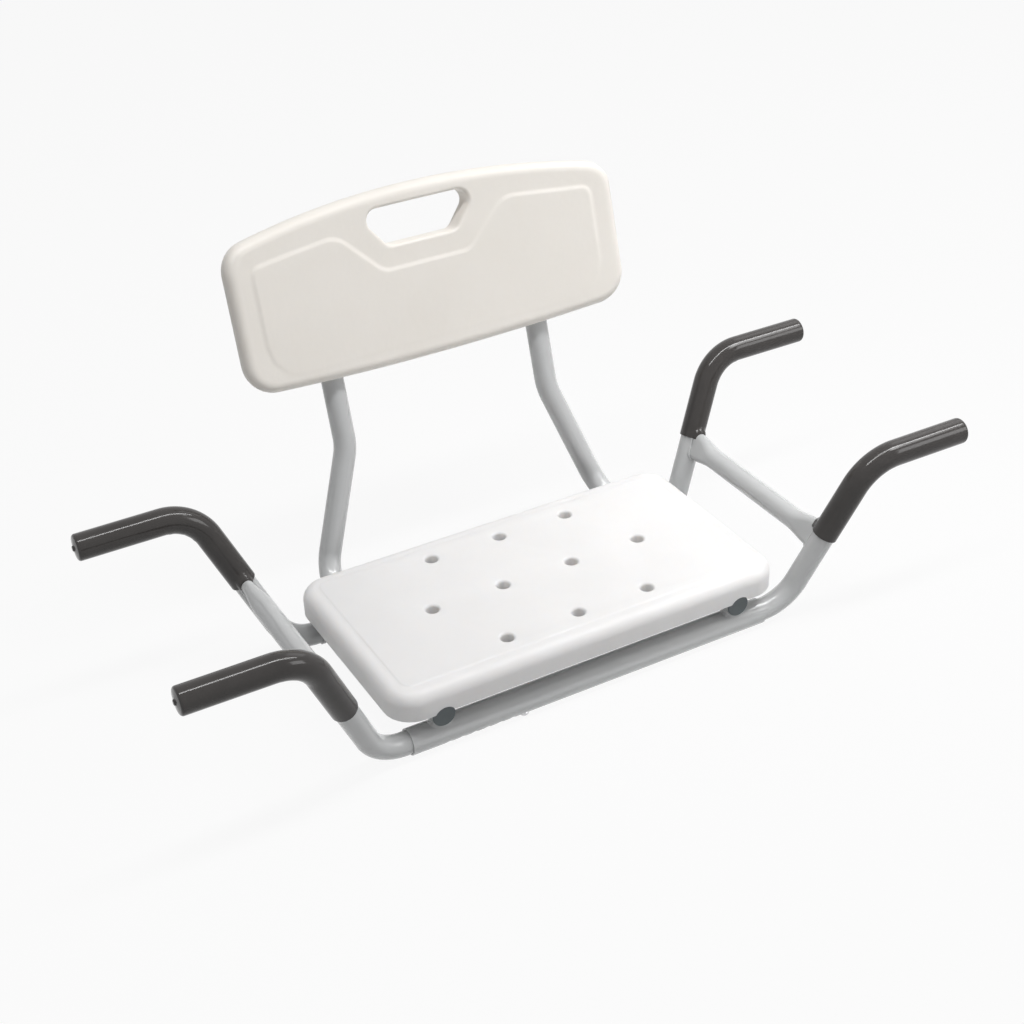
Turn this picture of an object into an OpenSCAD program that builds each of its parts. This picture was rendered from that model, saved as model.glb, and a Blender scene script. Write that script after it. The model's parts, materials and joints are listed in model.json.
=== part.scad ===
// Bath seat that hangs by four handles on the rims of a bath tub.
// A welded tube frame carries a moulded seat board and a curved back panel.
// The handle frame of each side telescopes in the cross tubes and is held by a snap button.
// X runs from rim to rim, Y towards the back panel, Z up. The base stands on Z = 0.

/* [Cross tubes] */
// Length of each cross tube
cross_tube_len = 380; // [360:5:400]
// Outer diameter of the cross tubes
cross_tube_d = 25.4; // [25:0.1:28]
// Wall of the cross tubes
cross_tube_wall = 1.3; // [1.0:0.1:1.4]
// Distance between the axes of the two cross tubes
cross_tube_gap = 194; // [180:2:200]

/* [Handle frames] */
// Tip to tip width with both handle frames pushed in
width_closed = 800; // [780:5:830]
// How far each handle frame pulls out
slide_travel = 77.5; // [60:0.5:80]
// Number of lock holes for each snap button
lock_holes = 7; // [4:1:7]
// Length of handle tube inside the cross tube when pushed in
insert_len = 130; // [125:1:140]
// Outer diameter of the handle tubes
arm_tube_d = 22.2; // [21:0.1:22.3]
// Wall of the handle tubes
arm_tube_wall = 1.2; // [1.0:0.1:1.5]
// Height of the top of the grips above the base
handle_top = 178; // [165:1:195]
// Distance between the axes of the front and rear handles
handle_gap = 256; // [230:2:270]
// Length of a handle from its bend corner to its tip
handle_len = 112; // [105:1:125]
// Sideways run of the leaning part of a handle tube
arm_run = 68; // [62:1:75]
// Bend radius next to the cross tube
lower_bend_r = 40; // [34:1:41]
// Bend radius below the handle
upper_bend_r = 45; // [38:1:55]
// Place of the crossbar along the leaning part, from the lower bend corner
crossbar_at = 77; // [72:1:82]
// Diameter of the crossbar between two handle tubes
crossbar_d = 21; // [18:0.5:22]
// Height of the flattened crossbar end, along the handle tube
crossbar_end_h = 29; // [26:0.5:32]
// Width of the flattened crossbar end
crossbar_end_w = 12; // [10:0.5:16]
// Length over which the crossbar end is pressed flat
crossbar_flat_len = 34; // [24:1:45]
// Wall of the crossbar
crossbar_wall = 1.2; // [1.0:0.1:1.5]

/* [Grips] */
// Wall of the soft grip
grip_wall = 1.6; // [1.2:0.1:2.2]
// Thickness of the closed end of the grip
grip_end_t = 3.5; // [2.5:0.1:5]
// Chamfer at the tip of the grip
grip_chamfer = 1.8; // [0.8:0.1:2.4]
// How far above the crossbar axis the mouth of the grip ends, along the handle tube
grip_mouth = 5; // [2:0.5:7]
// How far the hood of the grip over the crossbar end stands out
hood_reach = 4; // [2.5:0.5:6]
// How far the hood hangs below the mouth of the grip
hood_lip = 0.4; // [0.3:0.1:1]
// Radius of the moulding stub at the tip of the grip
stub_r = 2.8; // [2:0.1:4]
// Height of the moulding stub at the tip of the grip
stub_h = 1.4; // [0.8:0.1:2]

/* [Snap buttons] */
// Diameter of the snap button
button_d = 7.6; // [6:0.1:8]
// How far the button stands out of the cross tube
button_proud = 2.3; // [1.5:0.1:2.8]
// Direction of the button, turned from straight down towards the outside
button_turn = 40; // [40:1:60]
// Thickness of the hairpin spring leaf
leaf_t = 0.8; // [0.6:0.1:1.0]
// Width of the hairpin spring leaf
leaf_w = 6; // [4:0.5:7]
// Length of the hairpin spring from the button to its bow
leaf_len = 34; // [26:1:40]

/* [Side rails] */
// Outer diameter of the side rails
rail_d = 22.2; // [20:0.1:23]
// Wall of the side rails
rail_wall = 1.2; // [1.0:0.1:1.5]
// Distance between the two rails under the seat
rail_gap = 316; // [300:2:330]
// Distance between the two posts in the back panel
post_gap = 226; // [210:2:240]
// Corner of the rail behind the seat, from the middle of the frame
rail_corner_y = 144; // [142:1:152]
// Rise from the rail to the upper bend corner of the post
post_corner_rise = 123; // [110:1:135]
// Backward run from the rail corner to the upper bend corner
post_corner_run = 28; // [20:1:36]
// Backward lean of the post and the back panel in degrees
back_lean = 15.9; // [12:0.1:20]
// Length of the leaning post above its upper bend corner
post_len = 196; // [180:1:200]
// Bend radius at the rail corner
rail_bend_r = 36; // [30:1:38]
// Bend radius at the upper corner of the post
post_bend_r = 60; // [45:1:80]
// Half length of the weld between a rail and a cross tube, along the cross tube
weld_reach = 10.5; // [9:0.5:11]
// Width of the weld along the rail
weld_w = 17; // [14:0.5:20]

/* [End plugs] */
// Thickness of the flange of an end plug
plug_flange_t = 2; // [1.5:0.1:3]
// How far the front plugs lie behind the front edge of the seat
plug_set_back = 3; // [2:0.5:3.5]
// Length of the plug inside the tube
plug_stem_len = 12; // [8:1:18]
// Chamfer around the flange of an end plug
plug_chamfer = 0.6; // [0.3:0.1:0.8]

/* [Seat board] */
// Width of the seat board
seat_w = 410; // [390:2:430]
// Depth of the seat board
seat_d = 222; // [210:1:226]
// Thickness of the seat board
seat_t = 28; // [26:0.5:32]
// Corner radius of the seat board
seat_corner_r = 28; // [24:1:36]
// Edge radius around the top of the seat board
seat_top_r = 12; // [8:0.5:14]
// Edge radius around the underside of the seat board
seat_under_r = 5; // [4.5:0.5:7]
// Height of the flat raised field of the seat
field_rise = 0.8; // [0.4:0.1:1.5]
// Distance of the raised field from the edge
field_inset = 17; // [15:0.5:22]
// Wall of the hollow seat board
seat_wall = 3.2; // [2.5:0.1:4]
// Depth of the underside channels that sit over the rails
channel_depth = 6; // [4:0.5:8]
// Diameter of the drain holes
drain_d = 12.5; // [10:0.5:14]
// Distance between drain holes, both ways
drain_pitch = 75; // [68:1:78]
// Chamfer at the mouth of the drain holes
drain_chamfer = 1.2; // [0.5:0.1:2]

/* [Back panel] */
// Width of the back panel
panel_w = 410; // [380:2:430]
// Lower edge of the panel, along the post from its upper bend corner
panel_low = 67; // [62:1:74]
// Height of the panel at its middle
panel_h = 169; // [162:1:186]
// Thickness of the back panel
panel_t = 24; // [22:0.5:28]
// Radius of the panel seen from above
panel_curve_r = 1176; // [900:10:1600]
// Radius of the arched top edge
arch_r = 950; // [700:10:1400]
// Radius of the lower edge, which bows downwards
low_arch_r = 2000; // [1500:50:4000]
// Corner radius at the top of the panel
panel_top_corner = 28; // [22:1:36]
// Corner radius at the bottom of the panel
panel_low_corner = 32; // [24:1:40]
// Edge rounding of the panel
panel_edge_r = 10; // [6:0.5:11]
// How far the front of the panel lies before the post axes, at its middle
panel_forward = 17; // [15:0.5:19]
// Width of the hand slot at its top
slot_top_w = 108; // [90:1:114]
// Width of the hand slot at its bottom
slot_low_w = 84; // [66:1:92]
// Height of the hand slot
slot_h = 37; // [32:1:40]
// Rim between the hand slot and the top edge
slot_rim = 17; // [15:1:22]
// Corner radius of the hand slot
slot_r = 11; // [8:0.5:14]
// Wall of the hollow back panel
panel_wall = 3; // [2.5:0.1:3.5]
// Height of the raised cushion field of the panel
pad_rise = 1.6; // [0.8:0.1:2.5]
// Distance of the cushion field from the sides of the panel
pad_side = 25; // [20:1:32]
// Distance of the cushion field from the lower edge, at the middle
pad_low = 18; // [14:1:24]
// Distance of the cushion field from the top edge, before it dips under the slot
pad_top = 24; // [20:1:30]
// Fall of the field's top edge from the middle to its sides
pad_fall = 17; // [12:1:20]
// Distance of the cushion field from the lower edge of the hand slot
pad_dip = 22; // [17:1:26]
// Corner radius of the cushion field
pad_r = 10; // [8:0.5:13]

/* [Fasteners] */
// Thread diameter of the seat screws
seat_screw_d = 6; // [5:0.5:6]
// Distance between the two seat screws of a rail
seat_screw_gap = 110; // [90:2:130]
// Thread diameter of the back screws
back_screw_d = 5; // [4:0.5:5]
// Distance between the two back screws of a post
back_screw_gap = 64; // [50:1:70]
// Outer diameter of the threaded inserts in the seat
insert_d = 9; // [8.5:0.5:11]
// Depth of the drive recess in the screw heads
recess_depth = 1.6; // [1:0.1:2]

/* [Clearances] */
// Radial gap between a pressed piece and its hole
snug = 0.1; // [0.05:0.01:0.2]
// Gap between a board and the tube it sits on
seat_fit = 0.15; // [0.1:0.01:0.3]
// Gap around pieces that move
slide_fit = 0.3; // [0.25:0.01:0.4]

/* [Hidden] */
$fn = 64;

// Colours of the finishes
paint_grey = [0.80, 0.81, 0.81];
board_white = [0.95, 0.945, 0.94];
panel_white = [0.90, 0.88, 0.86];
grip_grey = [0.24, 0.23, 0.23];
plug_slate = [0.31, 0.34, 0.35];
bare_steel = [0.72, 0.72, 0.74];
brass = [0.78, 0.62, 0.32];

// Cut that reaches past a surface
past = 1;
// Band that joins a bend to a straight length
band_len = 0.4;
band_rise = 0.05;

// Steps of the panel's corners, of its long edges and of its edge rounding
corner_steps = 5;
span_steps = 14;
edge_steps = 3;

// Tube radii
cross_r = cross_tube_d / 2;
cross_bore = cross_r - cross_tube_wall;
arm_r = arm_tube_d / 2;
arm_bore = arm_r - arm_tube_wall;
rail_r = rail_d / 2;
rail_bore = rail_r - rail_wall;
grip_r = arm_r + grip_wall;

// Frame heights and places
cross_y = cross_tube_gap / 2;
cross_z = cross_r;
rail_z = cross_z + cross_r + rail_r;
rail_x = rail_gap / 2;
post_x = post_gap / 2;
seat_front_y = -seat_d / 2;
rail_front_y = seat_front_y + plug_set_back + plug_flange_t;
post_ref = [0, rail_corner_y + post_corner_run, rail_z + post_corner_rise];
up_dir = [0, sin(back_lean), cos(back_lean)];
seat_low_z = rail_z + rail_r - channel_depth;
seat_top_z = seat_low_z + seat_t;

// Corners of the left front handle tube
handle_z = handle_top - grip_r;
tip_x = width_closed / 2;
arm_corner_x = tip_x - handle_len;
arm_foot_x = arm_corner_x - arm_run;
insert_x = cross_tube_len / 2 - insert_len;
arm_foot = [-arm_foot_x, -cross_y, cross_z];
arm_corner = [-arm_corner_x, -handle_gap / 2, handle_z];
arm_points = [[-insert_x, -cross_y, cross_z], arm_foot, arm_corner,
    [stub_h + grip_end_t - tip_x, -handle_gap / 2, handle_z]];
arm_dir = unit(arm_corner - arm_foot);
crossbar_mid = arm_foot + crossbar_at * arm_dir;
grip_foot = arm_foot + (crossbar_at + grip_mouth) * arm_dir;
crossbar_turn = atan2(arm_dir.x, arm_dir.z);

// Snap button, measured outwards from the axis of the handle tube
button_r = button_d / 2;
button_x = insert_x + 16;
button_tip = cross_r + button_proud;
button_cap_r = 5;
button_flange_r = button_r + 1.2;
button_flange_t = 1.2;
button_flange_top = sqrt(arm_bore * arm_bore - button_flange_r * button_flange_r) - slide_fit;
button_foot = button_flange_top - button_flange_t;
lock_pitch = slide_travel / (lock_holes - 1);

// Back panel in its own frame: X across, Y backwards, Z up along the posts
panel_front_y = -panel_forward;
panel_top = panel_low + panel_h;
panel_mid_z = panel_low + panel_h / 2;
curve_mid_y = panel_front_y - panel_curve_r;
arch_mid_z = panel_top - arch_r;
top_corner_x = panel_w / 2 - panel_top_corner;
top_corner_z = arch_mid_z + sqrt(pow(arch_r - panel_top_corner, 2) - pow(top_corner_x, 2));
arch_start = atan2(top_corner_z - arch_mid_z, top_corner_x);
low_corner_x = panel_w / 2 - panel_low_corner;
low_mid_z = panel_low + low_arch_r;
low_corner_z = low_mid_z - sqrt(pow(low_arch_r - panel_low_corner, 2) - pow(low_corner_x, 2));
low_turn = asin(low_corner_x / (low_arch_r - panel_low_corner));
slot_top_z = panel_top - slot_rim;
slot_low_z = slot_top_z - slot_h;
back_screw_z = [panel_mid_z - back_screw_gap / 2 - 5, panel_mid_z + back_screw_gap / 2 - 5];

// The frame is centred over its own footprint
front_reach = handle_gap / 2 + grip_r;
rear_reach = post_ref.y + panel_rear_reach();
mid_y = (rear_reach - front_reach) / 2;

function unit(v) = v / norm(v);
function curve_y(x) = curve_mid_y + sqrt(panel_curve_r * panel_curve_r - x * x);
function panel_rear_reach() =
    max([for (ring = panel_rings(0), p = ring) p.y * cos(back_lean) + p.z * sin(back_lean)]);

// One corner arc of the panel outline, drawn in by the inset
function corner_arc(cx, cz, r, inset, from, to) =
    [for (i = [0:corner_steps]) let (a = from + (to - from) * i / corner_steps)
        [cx + (r - inset) * cos(a), cz + (r - inset) * sin(a)]];

// Closed outline of the panel drawn in by the inset, from the lower right corner round to the left
function panel_outline(inset) = concat(
    corner_arc(low_corner_x, low_corner_z, panel_low_corner, inset, low_turn - 90, 0),
    corner_arc(top_corner_x, top_corner_z, panel_top_corner, inset, 0, arch_start),
    [for (i = [1:span_steps - 1]) let (a = arch_start + (180 - 2 * arch_start) * i / span_steps)
        [(arch_r - inset) * cos(a), arch_mid_z + (arch_r - inset) * sin(a)]],
    corner_arc(-top_corner_x, top_corner_z, panel_top_corner, inset, 180 - arch_start, 180),
    corner_arc(-low_corner_x, low_corner_z, panel_low_corner, inset, 180, 270 - low_turn),
    [for (i = [1:span_steps - 1]) let (a = 270 - low_turn + 2 * low_turn * i / span_steps)
        [(low_arch_r - inset) * cos(a), low_mid_z + (low_arch_r - inset) * sin(a)]]);

// The same outline laid on the curved panel at a depth behind its front
function panel_ring(inset, depth) =
    [for (p = panel_outline(inset)) [p.x, curve_y(p.x) + depth, p.y]];

// Rings of the outline from the back face round the rounded edge to the front face, a wall further in
function panel_rings(wall) = let (r = panel_edge_r - wall)
    [for (side = [0, 1], k = [0:edge_steps]) let (a = 90 * k / edge_steps)
        side == 0 ? panel_ring(wall + r * (1 - sin(a)), panel_t - wall - r * (1 - cos(a)))
            : panel_ring(wall + r * (1 - cos(a)), wall + r * (1 - sin(a)))];

module placed() {
    translate([0, -mid_y, 0]) children();
}

module opposite() {
    rotate([0, 0, 180]) children();
}

module panel_frame() {
    translate(post_ref) rotate([-back_lean, 0, 0]) children();
}

// Places a piece drawn along Z at a point, with Z turned to a direction and X near a side
module aligned(origin, dir, side) {
    z = unit(dir);
    x = unit(side - (side * z) * z);
    y = cross(z, x);
    multmatrix([[x.x, y.x, z.x, origin.x], [x.y, y.y, z.y, origin.y],
        [x.z, y.z, z.z, origin.z], [0, 0, 0, 1]]) children();
}

module ring(outer, bore) {
    difference() {
        circle(outer);
        if (bore > 0) circle(bore);
    }
}

// Length taken from each leg at a bent corner
function corner_cut(p, i, bend_r) =
    (i == 0 || i == len(p) - 1) ? 0
        : let (a = unit(p[i] - p[i - 1]), b = unit(p[i + 1] - p[i])) bend_r[i] * tan(acos(a * b) / 2);

// The same path made longer at its start and its end
function lengthened(p, at_start, at_end) = let (n = len(p) - 1)
    [for (i = [0:n]) i == 0 ? p[0] - at_start * unit(p[1] - p[0])
        : i == n ? p[n] + at_end * unit(p[n] - p[n - 1]) : p[i]];

// Arc that starts along Z and turns towards X, stopping just short of both its ends
module bend(bend_r, angle, r) {
    short = band_len / bend_r * 90 / PI;
    translate([bend_r, 0, 0]) rotate([-90, 0, 0]) rotate([0, 0, 180 + short])
        rotate_extrude(angle = angle - 2 * short) translate([bend_r, 0]) circle(r);
}

module past_bend(bend_r, angle) {
    translate([bend_r, 0, 0]) rotate([0, angle, 0]) translate([-bend_r, 0, 0]) children();
}

// Thin band in which a straight length and an arc end, so neither has to match the other
module band(r) {
    translate([0, 0, -band_len]) cylinder(h = 2 * band_len, r = r + band_rise);
}

// One leg of a bar and, in the frame where its bend ends, the legs after it
module leg(p, bend_r, r, i, side) {
    dir = unit(p[i] - p[i - 1]);
    leg_len = norm(p[i] - p[i - 1]) - corner_cut(p, i - 1, bend_r) - corner_cut(p, i, bend_r);
    first = i == 1;
    last = i == len(p) - 1;
    from = first ? 0 : band_len / 2;
    translate([0, 0, from]) cylinder(h = leg_len - from - (last ? 0 : band_len / 2), r = r);
    translate([0, 0, leg_len])
        if (last) {
            children();
        } else {
            next = unit(p[i + 1] - p[i]);
            angle = acos(dir * next);
            inward = unit(next - (dir * next) * dir);
            rotate([0, 0, atan2(inward * cross(dir, side), inward * side)]) {
                band(r);
                bend(bend_r[i], angle, r);
                past_bend(bend_r[i], angle) {
                    band(r);
                    leg(p, bend_r, r, i + 1, cos(angle) * inward - sin(angle) * dir) children();
                }
            }
        }
}

// Round bar along corner points, with a true arc at each inner corner; children sit at its end
module bent_bar(p, bend_r, r) {
    dir = unit(p[1] - p[0]);
    side = unit(cross(dir, [0.3, 0.8, 0.5]));
    aligned(p[0], dir, side) leg(p, bend_r, r, 1, side) children();
}

module bent_tube(p, bend_r, outer, bore) {
    difference() {
        bent_bar(p, bend_r, outer);
        bent_bar(lengthened(p, past, past), bend_r, bore);
    }
}

// Convex outline with round corners, from the centres of its corners in turning order
module round_corners(mids, r) {
    n = len(mids);
    function side_normal(i) = let (d = unit(mids[(i + 1) % n] - mids[i])) [d.y, -d.x];
    polygon([for (i = [0:n - 1], k = [n - 1, 0]) mids[i] + r * side_normal((i + k) % n)]);
    for (m = mids) translate(m) circle(r);
}

module round_rect(w, d, r) {
    x = w / 2 - r;
    y = d / 2 - r;
    round_corners([[x, -y], [x, y], [-x, y], [-x, -y]], r);
}

// Screw along Z with its head below zero and a cross recess
module pan_screw(d, shank) {
    head_r = d * 0.98;
    head_h = d * 0.55;
    recess_w = d * 0.2;
    difference() {
        union() {
            cylinder(h = shank, r = d / 2);
            translate([0, 0, -head_h / 2]) cylinder(h = head_h / 2, r = head_r);
            translate([0, 0, -head_h]) cylinder(h = head_h / 2, r1 = head_r * 0.72, r2 = head_r);
        }
        for (turn = [0, 90])
            rotate([0, 0, turn]) translate([-head_r / 2, -recess_w / 2, -head_h - past])
                cube([head_r, recess_w, recess_depth + past]);
    }
}

// Drawn for the front tube, whose lock holes serve the left handle frame
module cross_tube() {
    color(paint_grey) difference() {
        translate([-cross_tube_len / 2, -cross_y, cross_z]) rotate([0, 90, 0])
            linear_extrude(cross_tube_len) ring(cross_r, cross_bore);
        for (i = [0:lock_holes - 1])
            translate([-button_x - i * lock_pitch, 0, 0]) at_button_axis()
                cylinder(h = cross_r + past, r = button_r + slide_fit);
    }
}

// Local Z points out of the tube along the left snap button
module at_button_axis() {
    translate([0, -cross_y, cross_z]) rotate([180 - button_turn, 0, 0]) children();
}

// Bent tube of the right side: level rail under the seat, leaning post, upright in the panel
rail_points = [[rail_x, rail_front_y, rail_z], [rail_x, rail_corner_y, rail_z],
    [post_x, 0, 0] + post_ref, [post_x, 0, 0] + post_ref + post_len * up_dir];

module side_rail() {
    color(paint_grey) difference() {
        bent_tube(rail_points, [0, rail_bend_r, post_bend_r, 0], rail_r, rail_bore);
        for (y = seat_screw_y)
            translate([rail_x, y, rail_z - rail_r - past])
                cylinder(h = rail_d + 2 * past, r = seat_screw_d / 2 + snug);
        panel_frame()
            for (z = back_screw_z)
                translate([post_x, rail_r + past, z]) rotate([90, 0, 0])
                    cylinder(h = rail_d + 2 * past, r = back_screw_d / 2 + snug);
    }
}

seat_screw_y = [-seat_screw_gap / 2, seat_screw_gap / 2];

// Weld metal that fills the corner between a rail and the cross tube below it
module rail_weld() {
    low_z = cross_z + cross_r / 2;
    difference() {
        translate([0, 0, low_z]) linear_extrude(rail_z - rail_r / 2 - low_z)
            round_rect(2 * weld_reach, weld_w, weld_w / 2 - 1);
        translate([-weld_reach - past, 0, cross_z]) rotate([0, 90, 0])
            cylinder(h = 2 * (weld_reach + past), r = cross_r);
        translate([0, weld_w, rail_z]) rotate([90, 0, 0]) cylinder(h = 2 * weld_w, r = rail_r);
        cylinder(h = rail_z, r = 1.5);
    }
}

// End plug with its flange below zero and its stem above
module end_plug() {
    color(plug_slate) union() {
        translate([0, 0, -plug_flange_t + plug_chamfer])
            cylinder(h = plug_flange_t - plug_chamfer, r = rail_r);
        translate([0, 0, -plug_flange_t])
            cylinder(h = plug_chamfer, r1 = rail_r - plug_chamfer, r2 = rail_r);
        cylinder(h = plug_stem_len, r = rail_bore - snug);
    }
}

// Half section of a board, rounded at its upper and lower edge
module board_section(half, h, top_r, low_r) {
    translate([0, low_r]) square([half, h - top_r - low_r]);
    square([half - low_r, h - top_r]);
    square([half - top_r, h]);
    translate([half - top_r, h - top_r]) circle(top_r);
    translate([half - low_r, low_r]) circle(low_r);
}

module board_bar(half, len, h, top_r, low_r) {
    translate([len / 2, 0, 0]) rotate([90, 0, -90]) linear_extrude(len) {
        board_section(half, h, top_r, low_r);
        mirror([1, 0]) board_section(half, h, top_r, low_r);
    }
}

// Board with round corners and rounded edges, its underside at zero
module board(w, d, h, corner_r, top_r, low_r) {
    for (x = [-1, 1], y = [-1, 1])
        translate([x * (w / 2 - corner_r), y * (d / 2 - corner_r), 0])
            rotate_extrude() board_section(corner_r, h, top_r, low_r);
    board_bar(d / 2, w - 2 * corner_r, h, top_r, low_r);
    rotate([0, 0, 90]) board_bar(w / 2, d - 2 * corner_r, h, top_r, low_r);
}

// Drain holes stand in staggered rows of three, four and three
module at_drains() {
    for (row = [-1:1])
        for (i = [0:row == 0 ? 3 : 2])
            translate([(i - (row == 0 ? 1.5 : 1)) * drain_pitch, row * drain_pitch, 0]) children();
}

module at_seat_screws() {
    for (x = [-rail_x, rail_x], y = seat_screw_y) translate([x, y, 0]) children();
}

body_t = seat_t - field_rise;
insert_low_z = rail_z + rail_r + seat_fit + 0.5;
insert_len_z = seat_top_z - field_rise - seat_wall - 1 - insert_low_z;

module seat_board() {
    placed() color(board_white) difference() {
        union() {
            translate([0, 0, seat_low_z])
                board(seat_w, seat_d, body_t, seat_corner_r, seat_top_r, seat_under_r);
            translate([0, 0, seat_top_z - field_rise - past]) linear_extrude(field_rise + past)
                round_rect(seat_w - 2 * field_inset, seat_d - 2 * field_inset, seat_corner_r - field_inset);
        }
        difference() {
            translate([0, 0, seat_low_z + seat_wall])
                board(seat_w - 2 * seat_wall, seat_d - 2 * seat_wall, body_t - 2 * seat_wall,
                    seat_corner_r - seat_wall, seat_top_r - seat_wall, seat_under_r - seat_wall);
            at_drains() translate([0, 0, seat_low_z]) cylinder(h = seat_t, r = drain_d / 2 + seat_wall);
            at_seat_screws() translate([0, 0, seat_low_z]) cylinder(h = seat_t, r = insert_d / 2 + seat_wall);
            for (x = [-rail_x, rail_x])
                translate([x, seat_d / 2, rail_z]) rotate([90, 0, 0])
                    cylinder(h = seat_d, r = rail_r + seat_fit + seat_wall);
        }
        for (x = [-rail_x, rail_x])
            translate([x, seat_d / 2 + past, rail_z]) rotate([90, 0, 0])
                cylinder(h = seat_d + 2 * past, r = rail_r + seat_fit);
        at_drains() {
            translate([0, 0, seat_low_z - past]) cylinder(h = seat_t + 2 * past, r = drain_d / 2);
            translate([0, 0, seat_top_z - drain_chamfer])
                cylinder(h = drain_chamfer + past, r1 = drain_d / 2, r2 = drain_d / 2 + drain_chamfer + past);
        }
        at_seat_screws() translate([0, 0, rail_z])
            cylinder(h = insert_low_z + insert_len_z - rail_z, r = insert_d / 2 + snug / 2);
    }
}

module seat_inserts() {
    placed() color(brass) at_seat_screws() translate([0, 0, insert_low_z]) linear_extrude(insert_len_z)
        ring(insert_d / 2, seat_screw_d / 2 + snug / 2);
}

module seat_screws() {
    placed() color(bare_steel) at_seat_screws() translate([0, 0, rail_z - rail_r])
        pan_screw(seat_screw_d, insert_low_z + insert_len_z - rail_z + rail_r - 1);
}

// Raised field of the panel, cut away around the hand slot
module pad_outline() {
    side_x = panel_w / 2 - pad_side - pad_r;
    low_z = panel_low + pad_low + pad_r;
    high_z = panel_top - pad_top - pad_r;
    dip_x = slot_low_w / 2;
    dip_z = slot_low_z - pad_dip + pad_r;
    difference() {
        round_corners([[0, low_z], [side_x - pad_r, low_z + pad_r / 2], [side_x, low_z + 2 * pad_r],
            [side_x, high_z - pad_fall], [0, high_z], [-side_x, high_z - pad_fall],
            [-side_x, low_z + 2 * pad_r], [pad_r - side_x, low_z + pad_r / 2]], pad_r);
        round_corners([[dip_x, dip_z], [dip_x + panel_h / 2, dip_z + panel_h / 2],
            [-dip_x - panel_h / 2, dip_z + panel_h / 2], [-dip_x, dip_z]], pad_r);
    }
}

// Skin of the panel or, a wall further in, of its hollow; upright strips close each face
module panel_shell(wall) {
    rings = panel_rings(wall);
    n = len(rings[0]);
    last = n * (len(rings) - 1);
    function upper(k) = (corner_steps + 1 + k) % n;
    function lower(k) = (corner_steps - k + n) % n;
    polyhedron(
        points = [for (ring = rings, p = ring) p],
        faces = concat(
            [for (k = [0:len(rings) - 2], i = [0:n - 1], half = [0, 1])
                let (j = (i + 1) % n, low = k * n, high = low + n)
                half == 0 ? [low + i, high + i, low + j] : [low + j, high + i, high + j]],
            [for (k = [0:n / 2 - 2], half = [0, 1])
                half == 0 ? [upper(k), upper(k + 1), lower(k)] : [upper(k + 1), lower(k + 1), lower(k)]],
            [for (k = [0:n / 2 - 2], half = [0, 1])
                half == 0 ? [last + upper(k), last + lower(k), last + upper(k + 1)]
                    : [last + upper(k + 1), last + lower(k), last + lower(k + 1)]]),
        convexity = 6);
}

// Round prism through the panel at the hand slot, grown by a wall
module slot_prism(wall) {
    low_x = slot_low_w / 2 - slot_r;
    top_x = slot_top_w / 2 - slot_r;
    rotate([90, 0, 0]) translate([0, 0, -3 * panel_t]) linear_extrude(6 * panel_t)
        round_corners([[low_x, slot_low_z + slot_r], [top_x, slot_top_z - slot_r],
            [-top_x, slot_top_z - slot_r], [-low_x, slot_low_z + slot_r]], slot_r + wall);
}

// Grooves over the posts and holes of the back screws, grown by a wall
module post_cuts(wall) {
    for (x = [-post_x, post_x]) {
        translate([x, 0, panel_low - past])
            cylinder(h = post_len + plug_flange_t + seat_fit - panel_low + past + wall,
                r = rail_r + seat_fit + wall);
        for (z = back_screw_z) translate([x, 0, z]) rotate([90, 0, 0])
            cylinder(h = back_screw_reach + snug + wall, r = back_screw_d / 2 + snug / 2 + wall);
    }
}

module back_panel() {
    placed() panel_frame() color(panel_white) difference() {
        union() {
            panel_shell(0);
            difference() {
                rotate([90, 0, 0]) translate([0, 0, panel_forward / 2])
                    linear_extrude(2 * panel_t) pad_outline();
                translate([0, 0, panel_low]) linear_extrude(panel_h)
                    polygon(concat([for (i = [-span_steps:2:span_steps])
                        let (x = i * panel_w / 2 / span_steps) [x, curve_y(x) - pad_rise]],
                        [[panel_w / 2, -4 * panel_t], [-panel_w / 2, -4 * panel_t]]));
            }
        }
        difference() {
            panel_shell(panel_wall);
            slot_prism(panel_wall);
            post_cuts(panel_wall);
        }
        slot_prism(0);
        post_cuts(0);
    }
}

// Depth of the screw tip before the post axis
back_screw_reach = panel_forward;

module back_screws() {
    placed() panel_frame() color(bare_steel)
        for (x = [-post_x, post_x], z = back_screw_z) translate([x, rail_r, z]) rotate([90, 0, 0])
            pan_screw(back_screw_d, rail_r + back_screw_reach);
}

// Handle tube of the left front corner
module handle_tube(button_hole) {
    color(paint_grey) difference() {
        bent_tube(arm_points, [0, lower_bend_r, upper_bend_r, 0], arm_r, arm_bore);
        if (button_hole) translate([-button_x, 0, 0]) at_button_axis()
            cylinder(h = arm_r + past, r = button_r + slide_fit);
    }
}

// Local Y runs along the crossbar, local Z up along the handle tubes
module crossbar_frame() {
    translate([crossbar_mid.x, 0, crossbar_mid.z]) rotate([0, crossbar_turn, 0]) children();
}

crossbar_half = -crossbar_mid.y;
crossbar_mouth_y = crossbar_half - arm_r;
crossbar_neck_y = crossbar_mouth_y - crossbar_flat_len;

// End of the crossbar that is pressed flat against the rear handle tube, grown by a gap
module crossbar_end(gap) {
    flat_r = crossbar_end_w / 2 + gap;
    spread = crossbar_end_h / 2 + gap - flat_r;
    crossbar_frame() {
        hull() {
            translate([0, crossbar_neck_y, 0]) rotate([90, 0, 0])
                cylinder(h = 0.5, r = crossbar_d / 2 + gap, $fn = 32);
            for (z = [-spread, spread])
                translate([0, crossbar_mouth_y - 3, z]) rotate([90, 0, 0])
                    cylinder(h = 0.5, r = flat_r, $fn = 32);
        }
        hull() for (z = [-spread, spread])
            translate([0, crossbar_half, z]) rotate([90, 0, 0])
                cylinder(h = arm_r + 3.5, r = flat_r, $fn = 32);
    }
}

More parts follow.
